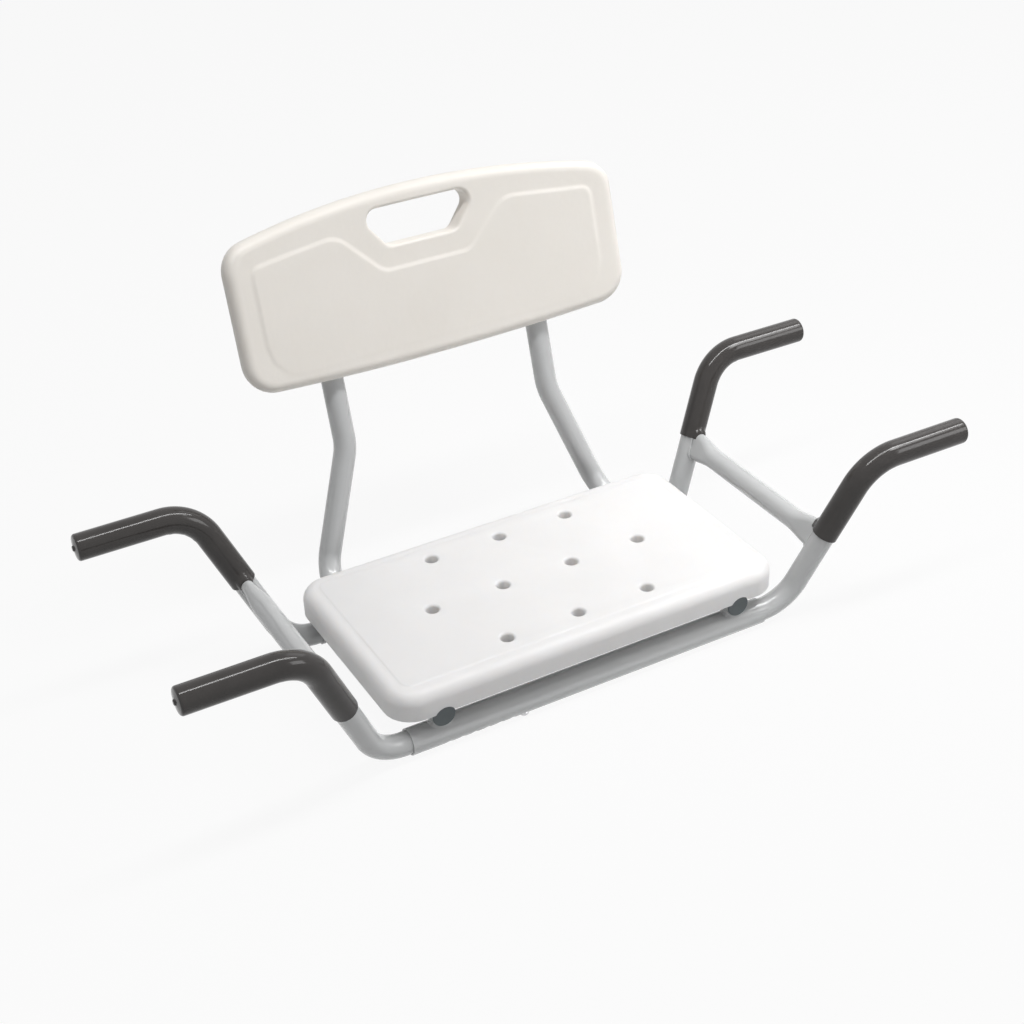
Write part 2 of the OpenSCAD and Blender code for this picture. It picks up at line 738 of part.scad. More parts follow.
module crossbar() {
    color(paint_grey) difference() {
        union() {
            crossbar_frame() translate([0, crossbar_neck_y, 0]) rotate([90, 0, 0])
                cylinder(h = 2 * crossbar_neck_y, r = crossbar_d / 2);
            for (s = [0, 1]) mirror([0, s, 0]) crossbar_end(0);
        }
        for (s = [0, 1]) mirror([0, s, 0])
            bent_bar([arm_foot, arm_corner], [0, 0], arm_r);
        crossbar_frame() translate([0, crossbar_neck_y, 0]) rotate([90, 0, 0])
            cylinder(h = 2 * crossbar_neck_y, r = crossbar_d / 2 - crossbar_wall);
    }
}

// Soft grip of the left front corner, closed at its tip, with a hood over the crossbar end
module grip() {
    path = [grip_foot, arm_corner, [stub_h + grip_chamfer - tip_x, -handle_gap / 2, handle_z]];
    bends = [0, upper_bend_r, 0];
    hood_w = crossbar_end_w + 2 * (seat_fit + grip_wall);
    hood_h = crossbar_end_h + 2 * (seat_fit + grip_wall);
    color(grip_grey) difference() {
        union() {
            bent_bar(path, bends, grip_r) {
                cylinder(h = grip_chamfer, r1 = grip_r, r2 = grip_r - grip_chamfer);
                cylinder(h = grip_chamfer + stub_h, r1 = stub_r, r2 = 0.7 * stub_r);
            }
            intersection() {
                crossbar_frame() translate([0, -crossbar_half, 0]) rotate([-90, 0, 0])
                    linear_extrude(arm_r + 2 * hood_reach) round_rect(hood_w, hood_h, hood_w / 2 - 0.5);
                aligned(grip_foot - hood_lip * arm_dir, arm_dir, [0, 1, 0])
                    cylinder(h = crossbar_end_h, r = grip_r + hood_reach);
            }
        }
        bent_bar(lengthened(path, past, grip_chamfer - grip_end_t), bends, arm_r + snug);
        mirror([0, 1, 0]) crossbar_end(seat_fit);
    }
}

// Button in its own frame, Z out of the tube, its round cap worn a little flat at the tip
module snap_button() {
    cap_mid = button_tip + 0.05 - button_cap_r;
    color(bare_steel) rotate_extrude() {
        translate([0, button_foot]) square([button_flange_r, button_flange_t]);
        intersection() {
            translate([0, button_foot]) square([button_r, button_tip - button_foot]);
            union() {
                translate([0, cap_mid]) circle(button_cap_r);
                translate([0, button_foot]) square([button_r, cap_mid - button_foot]);
            }
        }
    }
}

// Normal of a bent strip at one of its points, made longer at a corner so both edges stay parallel
function strip_normal(p, i) =
    let (a = unit(p[max(i, 1)] - p[max(i, 1) - 1]),
        b = unit(p[min(i, len(p) - 2) + 1] - p[min(i, len(p) - 2)]),
        n = unit([-a.y - b.y, a.x + b.x]))
    n / (n * [-a.y, a.x]);

// Outline of a bent strip along its middle line
function strip_outline(p, t) = concat(
    [for (i = [0:len(p) - 1]) p[i] + strip_normal(p, i) * t / 2],
    [for (i = [len(p) - 1:-1:0]) p[i] - strip_normal(p, i) * t / 2]);

// Hairpin spring in the button's frame, its bow towards the handle
module button_spring() {
    bow_r = 3;
    high = button_foot - 0.2 - leaf_t / 2;
    low = 0.3 + leaf_t / 2 - sqrt(arm_bore * arm_bore - leaf_w * leaf_w / 4);
    reach = button_flange_r + 1;
    bow = [for (a = [90:30:270]) [bow_r * cos(a) - leaf_len, bow_r * sin(a)]];
    color(bare_steel) translate([0, leaf_w / 2, 0]) rotate([90, 0, 0]) linear_extrude(leaf_w)
        polygon(strip_outline(
            concat([[reach, high], [-reach, high]], bow, [[-reach, low], [reach, low]]), leaf_t));
}

module at_left_button() {
    translate([-button_x, 0, 0]) at_button_axis() children();
}

module front_cross_tube() { placed() cross_tube(); }
module rear_cross_tube() { placed() opposite() cross_tube(); }
module right_side_rail() { placed() side_rail(); }
module left_side_rail() { placed() mirror([1, 0, 0]) side_rail(); }
module rail_saddles() {
    placed() color(paint_grey)
        for (x = [-rail_x, rail_x], y = [-cross_y, cross_y]) translate([x, y, 0]) rail_weld();
}
module rail_plug() { placed() translate([rail_x, rail_front_y, rail_z]) rotate([-90, 0, 0]) end_plug(); }
module right_rail_plug() { rail_plug(); }
module left_rail_plug() { mirror([1, 0, 0]) rail_plug(); }
module post_plug() { placed() panel_frame() translate([post_x, 0, post_len]) rotate([180, 0, 0]) end_plug(); }
module right_post_plug() { post_plug(); }
module left_post_plug() { mirror([1, 0, 0]) post_plug(); }

module left_front_arm() { placed() handle_tube(true); }
module left_rear_arm() { placed() mirror([0, 1, 0]) handle_tube(false); }
module right_rear_arm() { placed() opposite() handle_tube(true); }
module right_front_arm() { placed() opposite() mirror([0, 1, 0]) handle_tube(false); }
module left_crossbar() { placed() crossbar(); }
module right_crossbar() { placed() opposite() crossbar(); }
module left_front_grip() { placed() grip(); }
module left_rear_grip() { placed() mirror([0, 1, 0]) grip(); }
module right_rear_grip() { placed() opposite() grip(); }
module right_front_grip() { placed() opposite() mirror([0, 1, 0]) grip(); }
module left_snap_button() { placed() at_left_button() snap_button(); }
module right_snap_button() { placed() opposite() at_left_button() snap_button(); }
module left_button_spring() { placed() at_left_button() button_spring(); }
module right_button_spring() { placed() opposite() at_left_button() button_spring(); }

front_cross_tube();
rear_cross_tube();
left_side_rail();
right_side_rail();
rail_saddles();
left_rail_plug();
right_rail_plug();
left_post_plug();
right_post_plug();
seat_board();
seat_inserts();
seat_screws();
back_panel();
back_screws();
left_front_arm();
left_rear_arm();
left_crossbar();
left_front_grip();
left_rear_grip();
right_front_arm();
right_rear_arm();
right_crossbar();
right_front_grip();
right_rear_grip();
left_snap_button();
right_snap_button();
left_button_spring();
right_button_spring();
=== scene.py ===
"""Looks of a bath seat that hangs from the rims of a tub by four gripped handles.

The tubes, plugs, screws, inserts and snap buttons are shown as the CAD made them, each with a procedural
finish. Remodelled here are the seat board, the curved back panel, the grips, the crossbars with their weld
beads, the fillet welds of the rails, and the hairpin springs.
"""

import json
import logging
import math
from dataclasses import dataclass, field
from enum import Enum
from typing import Callable, Optional, Sequence

import bmesh
import bpy
from mathutils import Matrix, Vector


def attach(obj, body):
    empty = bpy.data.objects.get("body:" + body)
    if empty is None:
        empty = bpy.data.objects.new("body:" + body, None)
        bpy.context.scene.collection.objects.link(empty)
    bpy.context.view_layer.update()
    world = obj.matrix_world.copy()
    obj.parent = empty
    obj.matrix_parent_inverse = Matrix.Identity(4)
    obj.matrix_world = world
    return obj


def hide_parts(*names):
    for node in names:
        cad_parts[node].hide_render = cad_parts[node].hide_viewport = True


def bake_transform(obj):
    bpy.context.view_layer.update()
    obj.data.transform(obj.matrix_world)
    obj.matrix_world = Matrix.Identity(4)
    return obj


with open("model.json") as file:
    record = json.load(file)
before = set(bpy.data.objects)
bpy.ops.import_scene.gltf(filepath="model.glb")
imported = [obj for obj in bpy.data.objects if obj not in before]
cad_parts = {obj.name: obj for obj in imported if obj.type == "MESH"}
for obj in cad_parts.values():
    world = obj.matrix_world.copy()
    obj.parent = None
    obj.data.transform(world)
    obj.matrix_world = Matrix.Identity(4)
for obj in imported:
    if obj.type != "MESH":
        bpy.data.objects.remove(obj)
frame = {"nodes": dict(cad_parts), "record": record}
log = logging.getLogger("bath_seat")

# The shared frame is centred over the footprint; the sizes below count Y from between the cross tubes.
MIDDLE_Y = 0.0500141
# Points nearer to each other than this are one point.
SAME_PLACE = 1e-6
# How deep a welded piece reaches into the tube it is welded to.
SUNK = 0.0002
# Roughness of every noise, and the part of its range that spreads a finish's roughness.
NOISE_ROUGHNESS = 0.55
SHEEN_RANGE = (0.3, 0.7)
# How far red, green and blue light travel in the moulded plastic.
SUBSURFACE_REACH = (0.011, 0.010, 0.009)

Shape = bmesh.types.BMesh
Piece = bpy.types.Object
Tree = bpy.types.NodeTree
Node = bpy.types.Node
Socket = bpy.types.NodeSocket
# A point across and up, with its outward normal across and up.
Sample = tuple[float, float, float, float]


class Body(Enum):
    """The CAD bodies that a whole piece can ride on."""

    FRAME = "seat_frame"
    LEFT_ARMS = "left_arms"
    RIGHT_ARMS = "right_arms"


class Side(Enum):
    """Left and right as signs along X."""

    LEFT = -1
    RIGHT = 1

    def label(self) -> str:
        """The side's word in the names of pieces and nodes."""
        return self.name.lower()


@dataclass(frozen=True)
class Speckle:
    """A noise pattern that drives part of a finish.

    Args:
        scale: Cells per metre.
        detail: Octaves of the noise.
        amount: How far the pattern moves what it drives.
    """

    scale: float
    detail: float
    amount: float


def set_inputs(node: Node, **inputs: object) -> Node:
    """Sets a shader node's inputs.

    Args:
        node: The node.
        inputs: Values by the inputs' names, with an underscore for each space.

    Returns:
        The same node.
    """
    for name, value in inputs.items():
        node.inputs[name.replace("_", " ")].default_value = value
    return node


def add_node(tree: Tree, kind: str, **inputs: object) -> Node:
    """Adds a shader node of a kind, named without ShaderNode, and sets its inputs."""
    return set_inputs(tree.nodes.new(f"ShaderNode{kind}"), **inputs)


def wire(tree: Tree, *pairs: tuple[Socket, Socket]) -> None:
    """Links each pair of an output and an input."""
    for source, sink in pairs:
        tree.links.new(source, sink)


@dataclass(frozen=True)
class Finish:
    """One surface finish, made as a node material on Object coordinates.

    Args:
        name: Name of the material.
        light: Colour of the raised or clean places.
        dark: Colour of the dull or worn places.
        blotch: Slow change between the two colours.
        roughness: Lowest and highest roughness.
        sheen_patch: Pattern that spreads the roughness.
        grain: Fine relief of the surface; its amount is the bump distance in metres.
        orange_peel: Broad, low relief; its amount is the bump distance in metres.
        metallic: Metallic share.
        specular: Specular level.
        coat: Weight of a clear coat.
        coat_roughness: Roughness of the clear coat.
        subsurface: Share of light that travels in the plastic.
    """

    name: str
    light: tuple[float, float, float]
    dark: tuple[float, float, float]
    blotch: Speckle
    roughness: tuple[float, float]
    sheen_patch: Speckle
    grain: Speckle
    orange_peel: Optional[Speckle] = None
    metallic: float = 0.0
    specular: float = 0.5
    coat: float = 0.0
    coat_roughness: float = 0.1
    subsurface: float = 0.0

    def material(self) -> bpy.types.Material:
        """Builds the material, or finds the one already built.

        Returns:
            The node material of this finish.
        """
        made = bpy.data.materials.get(self.name)
        if not made:
            made = bpy.data.materials.new(self.name)
            made.use_nodes = True
            self._wire_up(made.node_tree)
        return made

    def _wire_up(self, tree: Tree) -> None:
        """Blends the two colours, spreads the roughness and chains the bumps, each by its own noise.

        Args:
            tree: The material's node tree.
        """
        surface = set_inputs(
            tree.nodes["Principled BSDF"], Metallic=self.metallic, Specular_IOR_Level=self.specular,
            Coat_Weight=self.coat, Coat_Roughness=self.coat_roughness)
        if self.subsurface > 0:
            set_inputs(
                surface, Subsurface_Weight=self.subsurface, Subsurface_Radius=SUBSURFACE_REACH,
                Subsurface_Scale=1.0)
        place = add_node(tree, "TexCoord").outputs["Object"]
        spread, (start, end), (low, high) = self.blotch.amount, SHEEN_RANGE, self.roughness
        blotches = add_node(tree, "MapRange", From_Min=0.5 - spread, From_Max=0.5 + spread)
        colour = add_node(tree, "Mix")
        colour.data_type = "RGBA"
        # The colour sockets of this node are inputs 6 and 7 and output 2.
        colour.inputs[6].default_value = (*self.light, 1)
        colour.inputs[7].default_value = (*self.dark, 1)
        sheen = add_node(tree, "MapRange", From_Min=start, From_Max=end, To_Min=low, To_Max=high)
        wire(
            tree, (self._noise(tree, place, self.blotch), blotches.inputs["Value"]),
            (blotches.outputs["Result"], colour.inputs[0]), (colour.outputs[2], surface.inputs["Base Color"]),
            (self._noise(tree, place, self.sheen_patch), sheen.inputs["Value"]),
            (sheen.outputs["Result"], surface.inputs["Roughness"]))
        sink = surface.inputs["Normal"]
        for speckle in filter(None, (self.grain, self.orange_peel)):
            bump = add_node(tree, "Bump", Strength=1.0, Distance=speckle.amount)
            wire(
                tree, (self._noise(tree, place, speckle), bump.inputs["Height"]),
                (bump.outputs["Normal"], sink))
            sink = bump.inputs["Normal"]

    def _noise(self, tree: Tree, place: Socket, speckle: Speckle) -> Socket:
        """Adds a noise texture.

        Args:
            tree: The material's node tree.
            place: Object coordinates.
            speckle: Scale and detail of the noise.

        Returns:
            The noise's value.
        """
        noise = add_node(
            tree, "TexNoise", Scale=speckle.scale, Detail=speckle.detail, Roughness=NOISE_ROUGHNESS)
        wire(tree, (place, noise.inputs["Vector"]))
        return noise.outputs["Fac"]


TUBE_PAINT = Finish(
    name="powder_coat",
    light=(0.57, 0.578, 0.58),
    dark=(0.543, 0.551, 0.553),
    blotch=Speckle(28, 3, 0.35),
    roughness=(0.21, 0.27),
    sheen_patch=Speckle(90, 3, 1),
    grain=Speckle(2600, 2, 0.000012),
    orange_peel=Speckle(420, 2, 0.00003),
    specular=0.55,
    coat=0.35,
    coat_roughness=0.08,
)
GRIP_VINYL = Finish(
    name="dipped_vinyl",
    light=(0.054, 0.049, 0.0465),
    dark=(0.041, 0.037, 0.035),
    blotch=Speckle(35, 4, 0.2),
    roughness=(0.10, 0.16),
    sheen_patch=Speckle(60, 4, 1),
    grain=Speckle(3000, 2, 0.000003),
    orange_peel=Speckle(70, 2, 0.00006),
    specular=0.36,
)
PLUG_SLATE = Finish(
    name="plug_plastic",
    light=(0.095, 0.115, 0.122),
    dark=(0.075, 0.092, 0.098),
    blotch=Speckle(80, 3, 0.2),
    roughness=(0.32, 0.45),
    sheen_patch=Speckle(150, 3, 1),
    grain=Speckle(2800, 2, 0.00002),
)
SEAT_PLASTIC = Finish(
    name="seat_plastic",
    light=(0.86, 0.852, 0.85),
    dark=(0.83, 0.822, 0.82),
    blotch=Speckle(14, 4, 0.25),
    roughness=(0.38, 0.52),
    sheen_patch=Speckle(40, 4, 1),
    grain=Speckle(1900, 3, 0.00006),
    orange_peel=Speckle(90, 3, 0.00012),
    subsurface=0.35,
)
PANEL_PLASTIC = Finish(
    name="panel_plastic",
    light=(0.93, 0.89, 0.835),
    dark=(0.90, 0.86, 0.80),
    blotch=Speckle(12, 4, 0.25),
    roughness=(0.36, 0.5),
    sheen_patch=Speckle(40, 4, 1),
    grain=Speckle(1700, 3, 0.00007),
    orange_peel=Speckle(80, 3, 0.0002),
    subsurface=0.08,
)
SCREW_STEEL = Finish(
    name="stainless",
    light=(0.62, 0.62, 0.63),
    dark=(0.5, 0.5, 0.51),
    blotch=Speckle(300, 4, 0.2),
    roughness=(0.22, 0.4),
    sheen_patch=Speckle(700, 4, 1),
    grain=Speckle(5000, 2, 0.000008),
    metallic=1.0,
)
SPRING_STEEL = Finish(
    name="blued_strip",
    light=(0.36, 0.36, 0.38),
    dark=(0.24, 0.24, 0.27),
    blotch=Speckle(120, 4, 0.2),
    roughness=(0.3, 0.5),
    sheen_patch=Speckle(500, 4, 1),
    grain=Speckle(4000, 2, 0.00001),
    metallic=1.0,
)
INSERT_BRASS = Finish(
    name="turned_brass",
    light=(0.72, 0.52, 0.24),
    dark=(0.6, 0.42, 0.18),
    blotch=Speckle(200, 4, 0.2),
    roughness=(0.25, 0.42),
    sheen_patch=Speckle(600, 4, 1),
    grain=Speckle(4000, 2, 0.00001),
    metallic=1.0,
)
SLOT_FINISH: dict[str, Finish] = {
    "tube_paint": TUBE_PAINT,
    "grip_vinyl": GRIP_VINYL,
    "plug_slate": PLUG_SLATE,
    "seat_white": SEAT_PLASTIC,
    "panel_white": PANEL_PLASTIC,
    "screw_steel": SCREW_STEEL,
    "button_steel": SCREW_STEEL,
    "spring_steel": SPRING_STEEL,
    "insert_brass": INSERT_BRASS,
}


def add_object(name: str, data: bpy.types.ID | Shape) -> Piece:
    """Links a new object to the scene.

    Args:
        name: Name of the object.
        data: Its mesh, lamp or camera, or a bmesh, which becomes its mesh and is freed.

    Returns:
        The object, at the origin and unturned.
    """
    if isinstance(data, Shape):
        shape, data = data, bpy.data.meshes.new(name)
        shape.to_mesh(data)
        shape.free()
    made = bpy.data.objects.new(name, data)
    bpy.context.scene.collection.objects.link(made)
    return made


def smooth_mesh(mesh: bpy.types.Mesh, sharp_deg: float) -> None:
    """Shades a mesh smooth but for the edges that turn more than an angle."""
    mesh.polygons.foreach_set("use_smooth", [True] * len(mesh.polygons))
    mesh.set_sharp_from_angle(angle=math.radians(sharp_deg))


def make_object(name: str, shape: Shape, finish: Finish, sharp_deg: float) -> Piece:
    """Turns a bmesh into a smooth-shaded object with a finish.

    Args:
        name: Name of the piece.
        shape: The bmesh, which is freed.
        finish: The finish of the whole piece.
        sharp_deg: Edges that turn more than this stay sharp.

    Returns:
        The new object.
    """
    bmesh.ops.remove_doubles(shape, verts=shape.verts[:], dist=SAME_PLACE)
    bmesh.ops.recalc_face_normals(shape, faces=shape.faces[:])
    piece = add_object(name, shape)
    smooth_mesh(piece.data, sharp_deg)
    piece.data.materials.append(finish.material())
    return piece


def turned(steps: int, degrees: float = 90) -> list[tuple[float, float]]:
    """Sine and cosine at even steps from zero to an angle, both ends included."""
    angles = [math.radians(degrees * k / steps) for k in range(steps + 1)]
    return [(math.sin(a), math.cos(a)) for a in angles]


def add_rod(shape: Shape, radius: float, length: float, at: Matrix, segments: int = 96) -> None:
    """Adds a closed round rod along Z, with its middle where a matrix puts it."""
    bmesh.ops.create_cone(
        shape, cap_ends=True, segments=segments, radius1=radius, radius2=radius, depth=length, matrix=at)


def round_edges(shape: Shape, edges: Sequence[bmesh.types.BMEdge], radius: float, steps: int) -> None:
    """Rounds edges of a bmesh.

    Args:
        shape: The bmesh.
        edges: The edges to round.
        radius: Radius of the rounding.
        steps: Flat bands across it.
    """
    bmesh.ops.bevel(
        shape, geom=list(edges), offset=radius, offset_type="OFFSET", segments=steps, profile=0.5,
        affect="EDGES", clamp_overlap=False, material=-1)


def lathe(shape: Shape, profile: Sequence[tuple[float, float]], at: Matrix, steps: int = 48) -> None:
    """Spins a profile round the Z axis into a closed shape.

    Args:
        shape: The bmesh that gets the shape.
        profile: Radius and height of each point, from one end on the axis to the other.
        at: Where the shape's own frame lies.
        steps: Steps of the full turn.
    """
    old = set(shape.verts)
    verts = [shape.verts.new((radius, 0, height)) for radius, height in profile]
    edges = [shape.edges.new(pair) for pair in zip(verts, verts[1:])]
    bmesh.ops.spin(
        shape, geom=verts + edges, cent=(0, 0, 0), axis=(0, 0, 1), angle=math.tau, steps=steps,
        use_merge=True)
    bmesh.ops.remove_doubles(shape, verts=[v for v in shape.verts if v not in old], dist=SAME_PLACE)
    bmesh.ops.transform(shape, matrix=at, verts=[v for v in shape.verts if v not in old])


def loft(shape: Shape, rings: Sequence[Sequence[Vector]], closed: bool = False) -> None:
    """Grows a skin through rings of points by extruding one loop of edges from ring to ring.

    Args:
        shape: The bmesh that gets the skin.
        rings: The rings, each with the same number of points in the same turning order.
        closed: Whether the last ring is joined to the first; otherwise both ends are filled.
    """
    last = bmesh.ops.create_circle(shape, cap_ends=False, radius=1, segments=len(rings[0]))["verts"]
    first = list(dict.fromkeys(edge for vert in last for edge in vert.link_edges))
    edges = first
    for vert, place in zip(last, rings[0]):
        vert.co = place
    for ring in rings[1:]:
        grown = bmesh.ops.extrude_edge_only(shape, edges=edges)["geom"]
        fresh = {g for g in grown if isinstance(g, bmesh.types.BMVert)}
        edges = [g for g in grown if isinstance(g, bmesh.types.BMEdge)]
        last = [next(e.other_vert(v) for e in v.link_edges if e.other_vert(v) in fresh) for v in last]
        for vert, place in zip(last, ring):
            vert.co = place
    if closed:
        bmesh.ops.bridge_loops(shape, edges=edges + first)
    else:
        bmesh.ops.edgeloop_fill(shape, edges=first)
        bmesh.ops.edgeloop_fill(shape, edges=edges)


def carved(piece: Piece, cutter: Shape, sharp_deg: float) -> None:
    """Cuts a closed shape out of a piece and keeps the result as its mesh.

    Args:
        piece: The piece that is cut.
        cutter: The closed shape to take away, which is freed.
        sharp_deg: Edges that turn more than this stay sharp.
    """
    bmesh.ops.recalc_face_normals(cutter, faces=cutter.faces[:])
    tool = add_object("cutter", cutter)
    cut = piece.modifiers.new("cut", "BOOLEAN")
    cut.operation = "DIFFERENCE"
    cut.solver = "EXACT"
    cut.object = tool
    done = bpy.data.meshes.new_from_object(piece.evaluated_get(bpy.context.evaluated_depsgraph_get()))
    piece.modifiers.clear()
    old, tool_mesh = piece.data, tool.data
    piece.data = done
    done.name = piece.name
    bpy.data.meshes.remove(old)
    bpy.data.objects.remove(tool)
    bpy.data.meshes.remove(tool_mesh)
    smooth_mesh(done, sharp_deg)


@dataclass(frozen=True)
class Arc:
    """One round corner of an outline, turned through counter-clockwise.

    Args:
        x: Centre across.
        z: Centre up.
        radius: Radius of the corner.
        start: First angle in degrees.
        end: Last angle in degrees.
    """

    x: float
    z: float
    radius: float
    start: float
    end: float

    def at(self, angle: float) -> Sample:
        """The point at an angle in degrees, with its outward normal."""
        across, up = math.cos(math.radians(angle)), math.sin(math.radians(angle))
        return self.x + self.radius * across, self.z + self.radius * up, across, up

    def length(self) -> float:
        """Length of the arc."""
        return self.radius * math.radians(self.end - self.start)


@dataclass(frozen=True)
class Outline:
    """A convex outline of round corners joined by straight sides.

    Args:
        corners: The corners in counter-clockwise order.
    """

    corners: tuple[Arc, ...]

    def samples(self, count: int) -> list[Sample]:
        """Places points evenly along the outline.

        Args:
            count: Number of points.

        Returns:
            The points.
        """
        spans: list[tuple[float, Callable[[float], Sample]]] = []
        for i, arc in enumerate(self.corners):
            spans.append((arc.length(), lambda s, arc=arc: arc.at(arc.start + (arc.end - arc.start) * s)))
            x0, z0, nx, nz = arc.at(arc.end)
            following = self.corners[(i + 1) % len(self.corners)]
            x1, z1, _, _ = following.at(following.start)
            side = math.hypot(x1 - x0, z1 - z0)
            if side > SAME_PLACE:
                spans.append((side, lambda s, a=(x0, z0), b=(x1, z1), n=(nx, nz): (
                    a[0] + (b[0] - a[0]) * s, a[1] + (b[1] - a[1]) * s, *n)))
        total = sum(length for length, _ in spans)
        found = []
        for i in range(count):
            walk = total * i / count
            for length, place in spans:
                if walk <= length:
                    found.append(place(walk / length))
                    break
                walk -= length
        return found


@dataclass
class BackPanel:
    """The curved, blow-moulded back panel with its hand slot and cushion field.

    Its own frame stands at the upper bend of the posts: X across, Y backwards, Z up along the posts.
    """

    origin: Vector = field(default_factory=lambda: Vector((0, 0.172 - MIDDLE_Y, 0.1595)))
    lean_deg: float = 15.9
    width: float = 0.410
    low: float = 0.067
    height: float = 0.1687
    thickness: float = 0.0238
    curve_radius: float = 1.176
    arch_radius: float = 0.950
    low_arch_radius: float = 2.0
    top_corner: float = 0.028
    low_corner: float = 0.032
    edge_radius: float = 0.010
    forward: float = 0.017
    slot_top_width: float = 0.108
    slot_low_width: float = 0.084
    slot_height: float = 0.037
    slot_rim: float = 0.017
    slot_corner: float = 0.011
    slot_lip: float = 0.0032
    field_rise: float = 0.0014
    field_side: float = 0.025
    field_low: float = 0.018
    field_top: float = 0.024
    field_fall: float = 0.017
    field_dip: float = 0.022
    field_corner: float = 0.010
    field_slope: float = 0.0052
    field_fade: float = 0.075
    dip_corner: float = 0.020
    post_x: float = 0.113
    groove_radius: float = 0.01125
    groove_top: float = 0.19815
    around: int = 420
    face_rings: int = 118
    back_rings: int = 20
    edge_steps: int = 8
    lip_steps: int = 5
    slot_samples: int = 1440
    # The field's lower corners: how far in from its side and up from its foot, in corner radii.
    low_corner_points: tuple[tuple[float, float], ...] = ((2.6, 0), (1.3, 0.35), (0.35, 1.3), (0, 2.6))
    dip_blend: float = 0.010
    groove_past: float = 0.01

    def top(self) -> float:
        """Height of the top edge at its middle."""
        return self.low + self.height

    def depth_at(self, x: float) -> float:
        """Y of the front face at a place across the panel."""
        return math.sqrt(self.curve_radius**2 - x * x) - self.curve_radius - self.forward

    def outline(self) -> Outline:
        """Finds the panel's outer edge.

        Returns:
            The outline, with a flat arc below and an arch above.
        """
        half = self.width / 2
        mid_z = self.top() - self.arch_radius
        top_x = half - self.top_corner
        top_z = mid_z + math.sqrt((self.arch_radius - self.top_corner) ** 2 - top_x**2)
        meet = math.degrees(math.atan2(top_z - mid_z, top_x))
        low_mid_z = self.low + self.low_arch_radius
        low_x, low_reach = half - self.low_corner, self.low_arch_radius - self.low_corner
        low_z = low_mid_z - math.sqrt(low_reach**2 - low_x**2)
        turn = math.degrees(math.asin(low_x / low_reach))
        return Outline((
            Arc(0, low_mid_z, self.low_arch_radius, -90 - turn, turn - 90),
            Arc(low_x, low_z, self.low_corner, turn - 90, 0),
            Arc(top_x, top_z, self.top_corner, 0, meet),
            Arc(0, mid_z, self.arch_radius, meet, 180 - meet),
            Arc(-top_x, top_z, self.top_corner, 180 - meet, 180),
            Arc(-low_x, low_z, self.low_corner, 180, 270 - turn),
        ))

    def slot(self) -> Outline:
        """Finds the edge of the hand slot.

        Returns:
            The outline, narrower below than above.
        """
        r = self.slot_corner
        top_x, low_x = self.slot_top_width / 2 - r, self.slot_low_width / 2 - r
        top_z = self.top() - self.slot_rim - r
        low_z = top_z - self.slot_height + 2 * r
        side = math.degrees(math.atan2(low_x - top_x, top_z - low_z))
        return Outline((
            Arc(low_x, low_z, r, -90, side),
            Arc(top_x, top_z, r, side, 90),
            Arc(-top_x, top_z, r, 90, 180 - side),
            Arc(-low_x, low_z, r, 180 - side, 270),
        ))

    def slot_towards(self, targets: Sequence[Sample]) -> list[Sample]:
        """Finds the slot's edge points that face each target, seen from the slot's middle.

        Args:
            targets: Points of the outer outline.

        Returns:
            For each target a point of the slot's outline.
        """
        mid_z = self.top() - self.slot_rim - self.slot_height / 2
        fine = self.slot().samples(self.slot_samples)
        bearings = [math.atan2(s[1] - mid_z, s[0]) for s in fine]
        found = []
        for target in targets:
            want = math.atan2(target[1] - mid_z, target[0])
            gaps = [abs(math.remainder(b - want, math.tau)) for b in bearings]
            found.append(fine[gaps.index(min(gaps))])
        return found

    def field_height(self, x: float, z: float) -> float:
        """Measures the cushion field, a rounded shape with a dip round the slot cut from its top.

        Args:
            x: The place across the front face.
            z: The place up it.

        Returns:
            How far the field stands out there.
        """
        c, turn = self.field_corner, self.dip_corner
        side_x = self.width / 2 - self.field_side - c
        low_z = self.low + self.field_low + c
        high_z = self.top() - self.field_top - c
        right = [(side_x - across * c, low_z + up * c) for across, up in self.low_corner_points]
        right.append((side_x, high_z - self.field_fall))
        body = [*right, (0, high_z), *((-x, z) for x, z in reversed(right))]
        # The dip's flanks rise at 45 degrees.
        dip_x = self.slot_low_width / 2 - math.tan(math.radians(45 / 2)) * (turn - c)
        dip_z = self.top() - self.slot_rim - self.slot_height - self.field_dip + turn
        far_x, far_z = dip_x + self.height / 2, dip_z + self.height / 2
        dip = [(dip_x, dip_z), (far_x, far_z), (-far_x, far_z), (-dip_x, dip_z)]
        inside = soft_max(edge_distance(body, x, z) - c, turn - edge_distance(dip, x, z), self.dip_blend)
        fade = smooth_step((z - self.low) / self.field_fade)
        return self.field_rise * fade * smooth_step(0.5 - inside / self.field_slope)

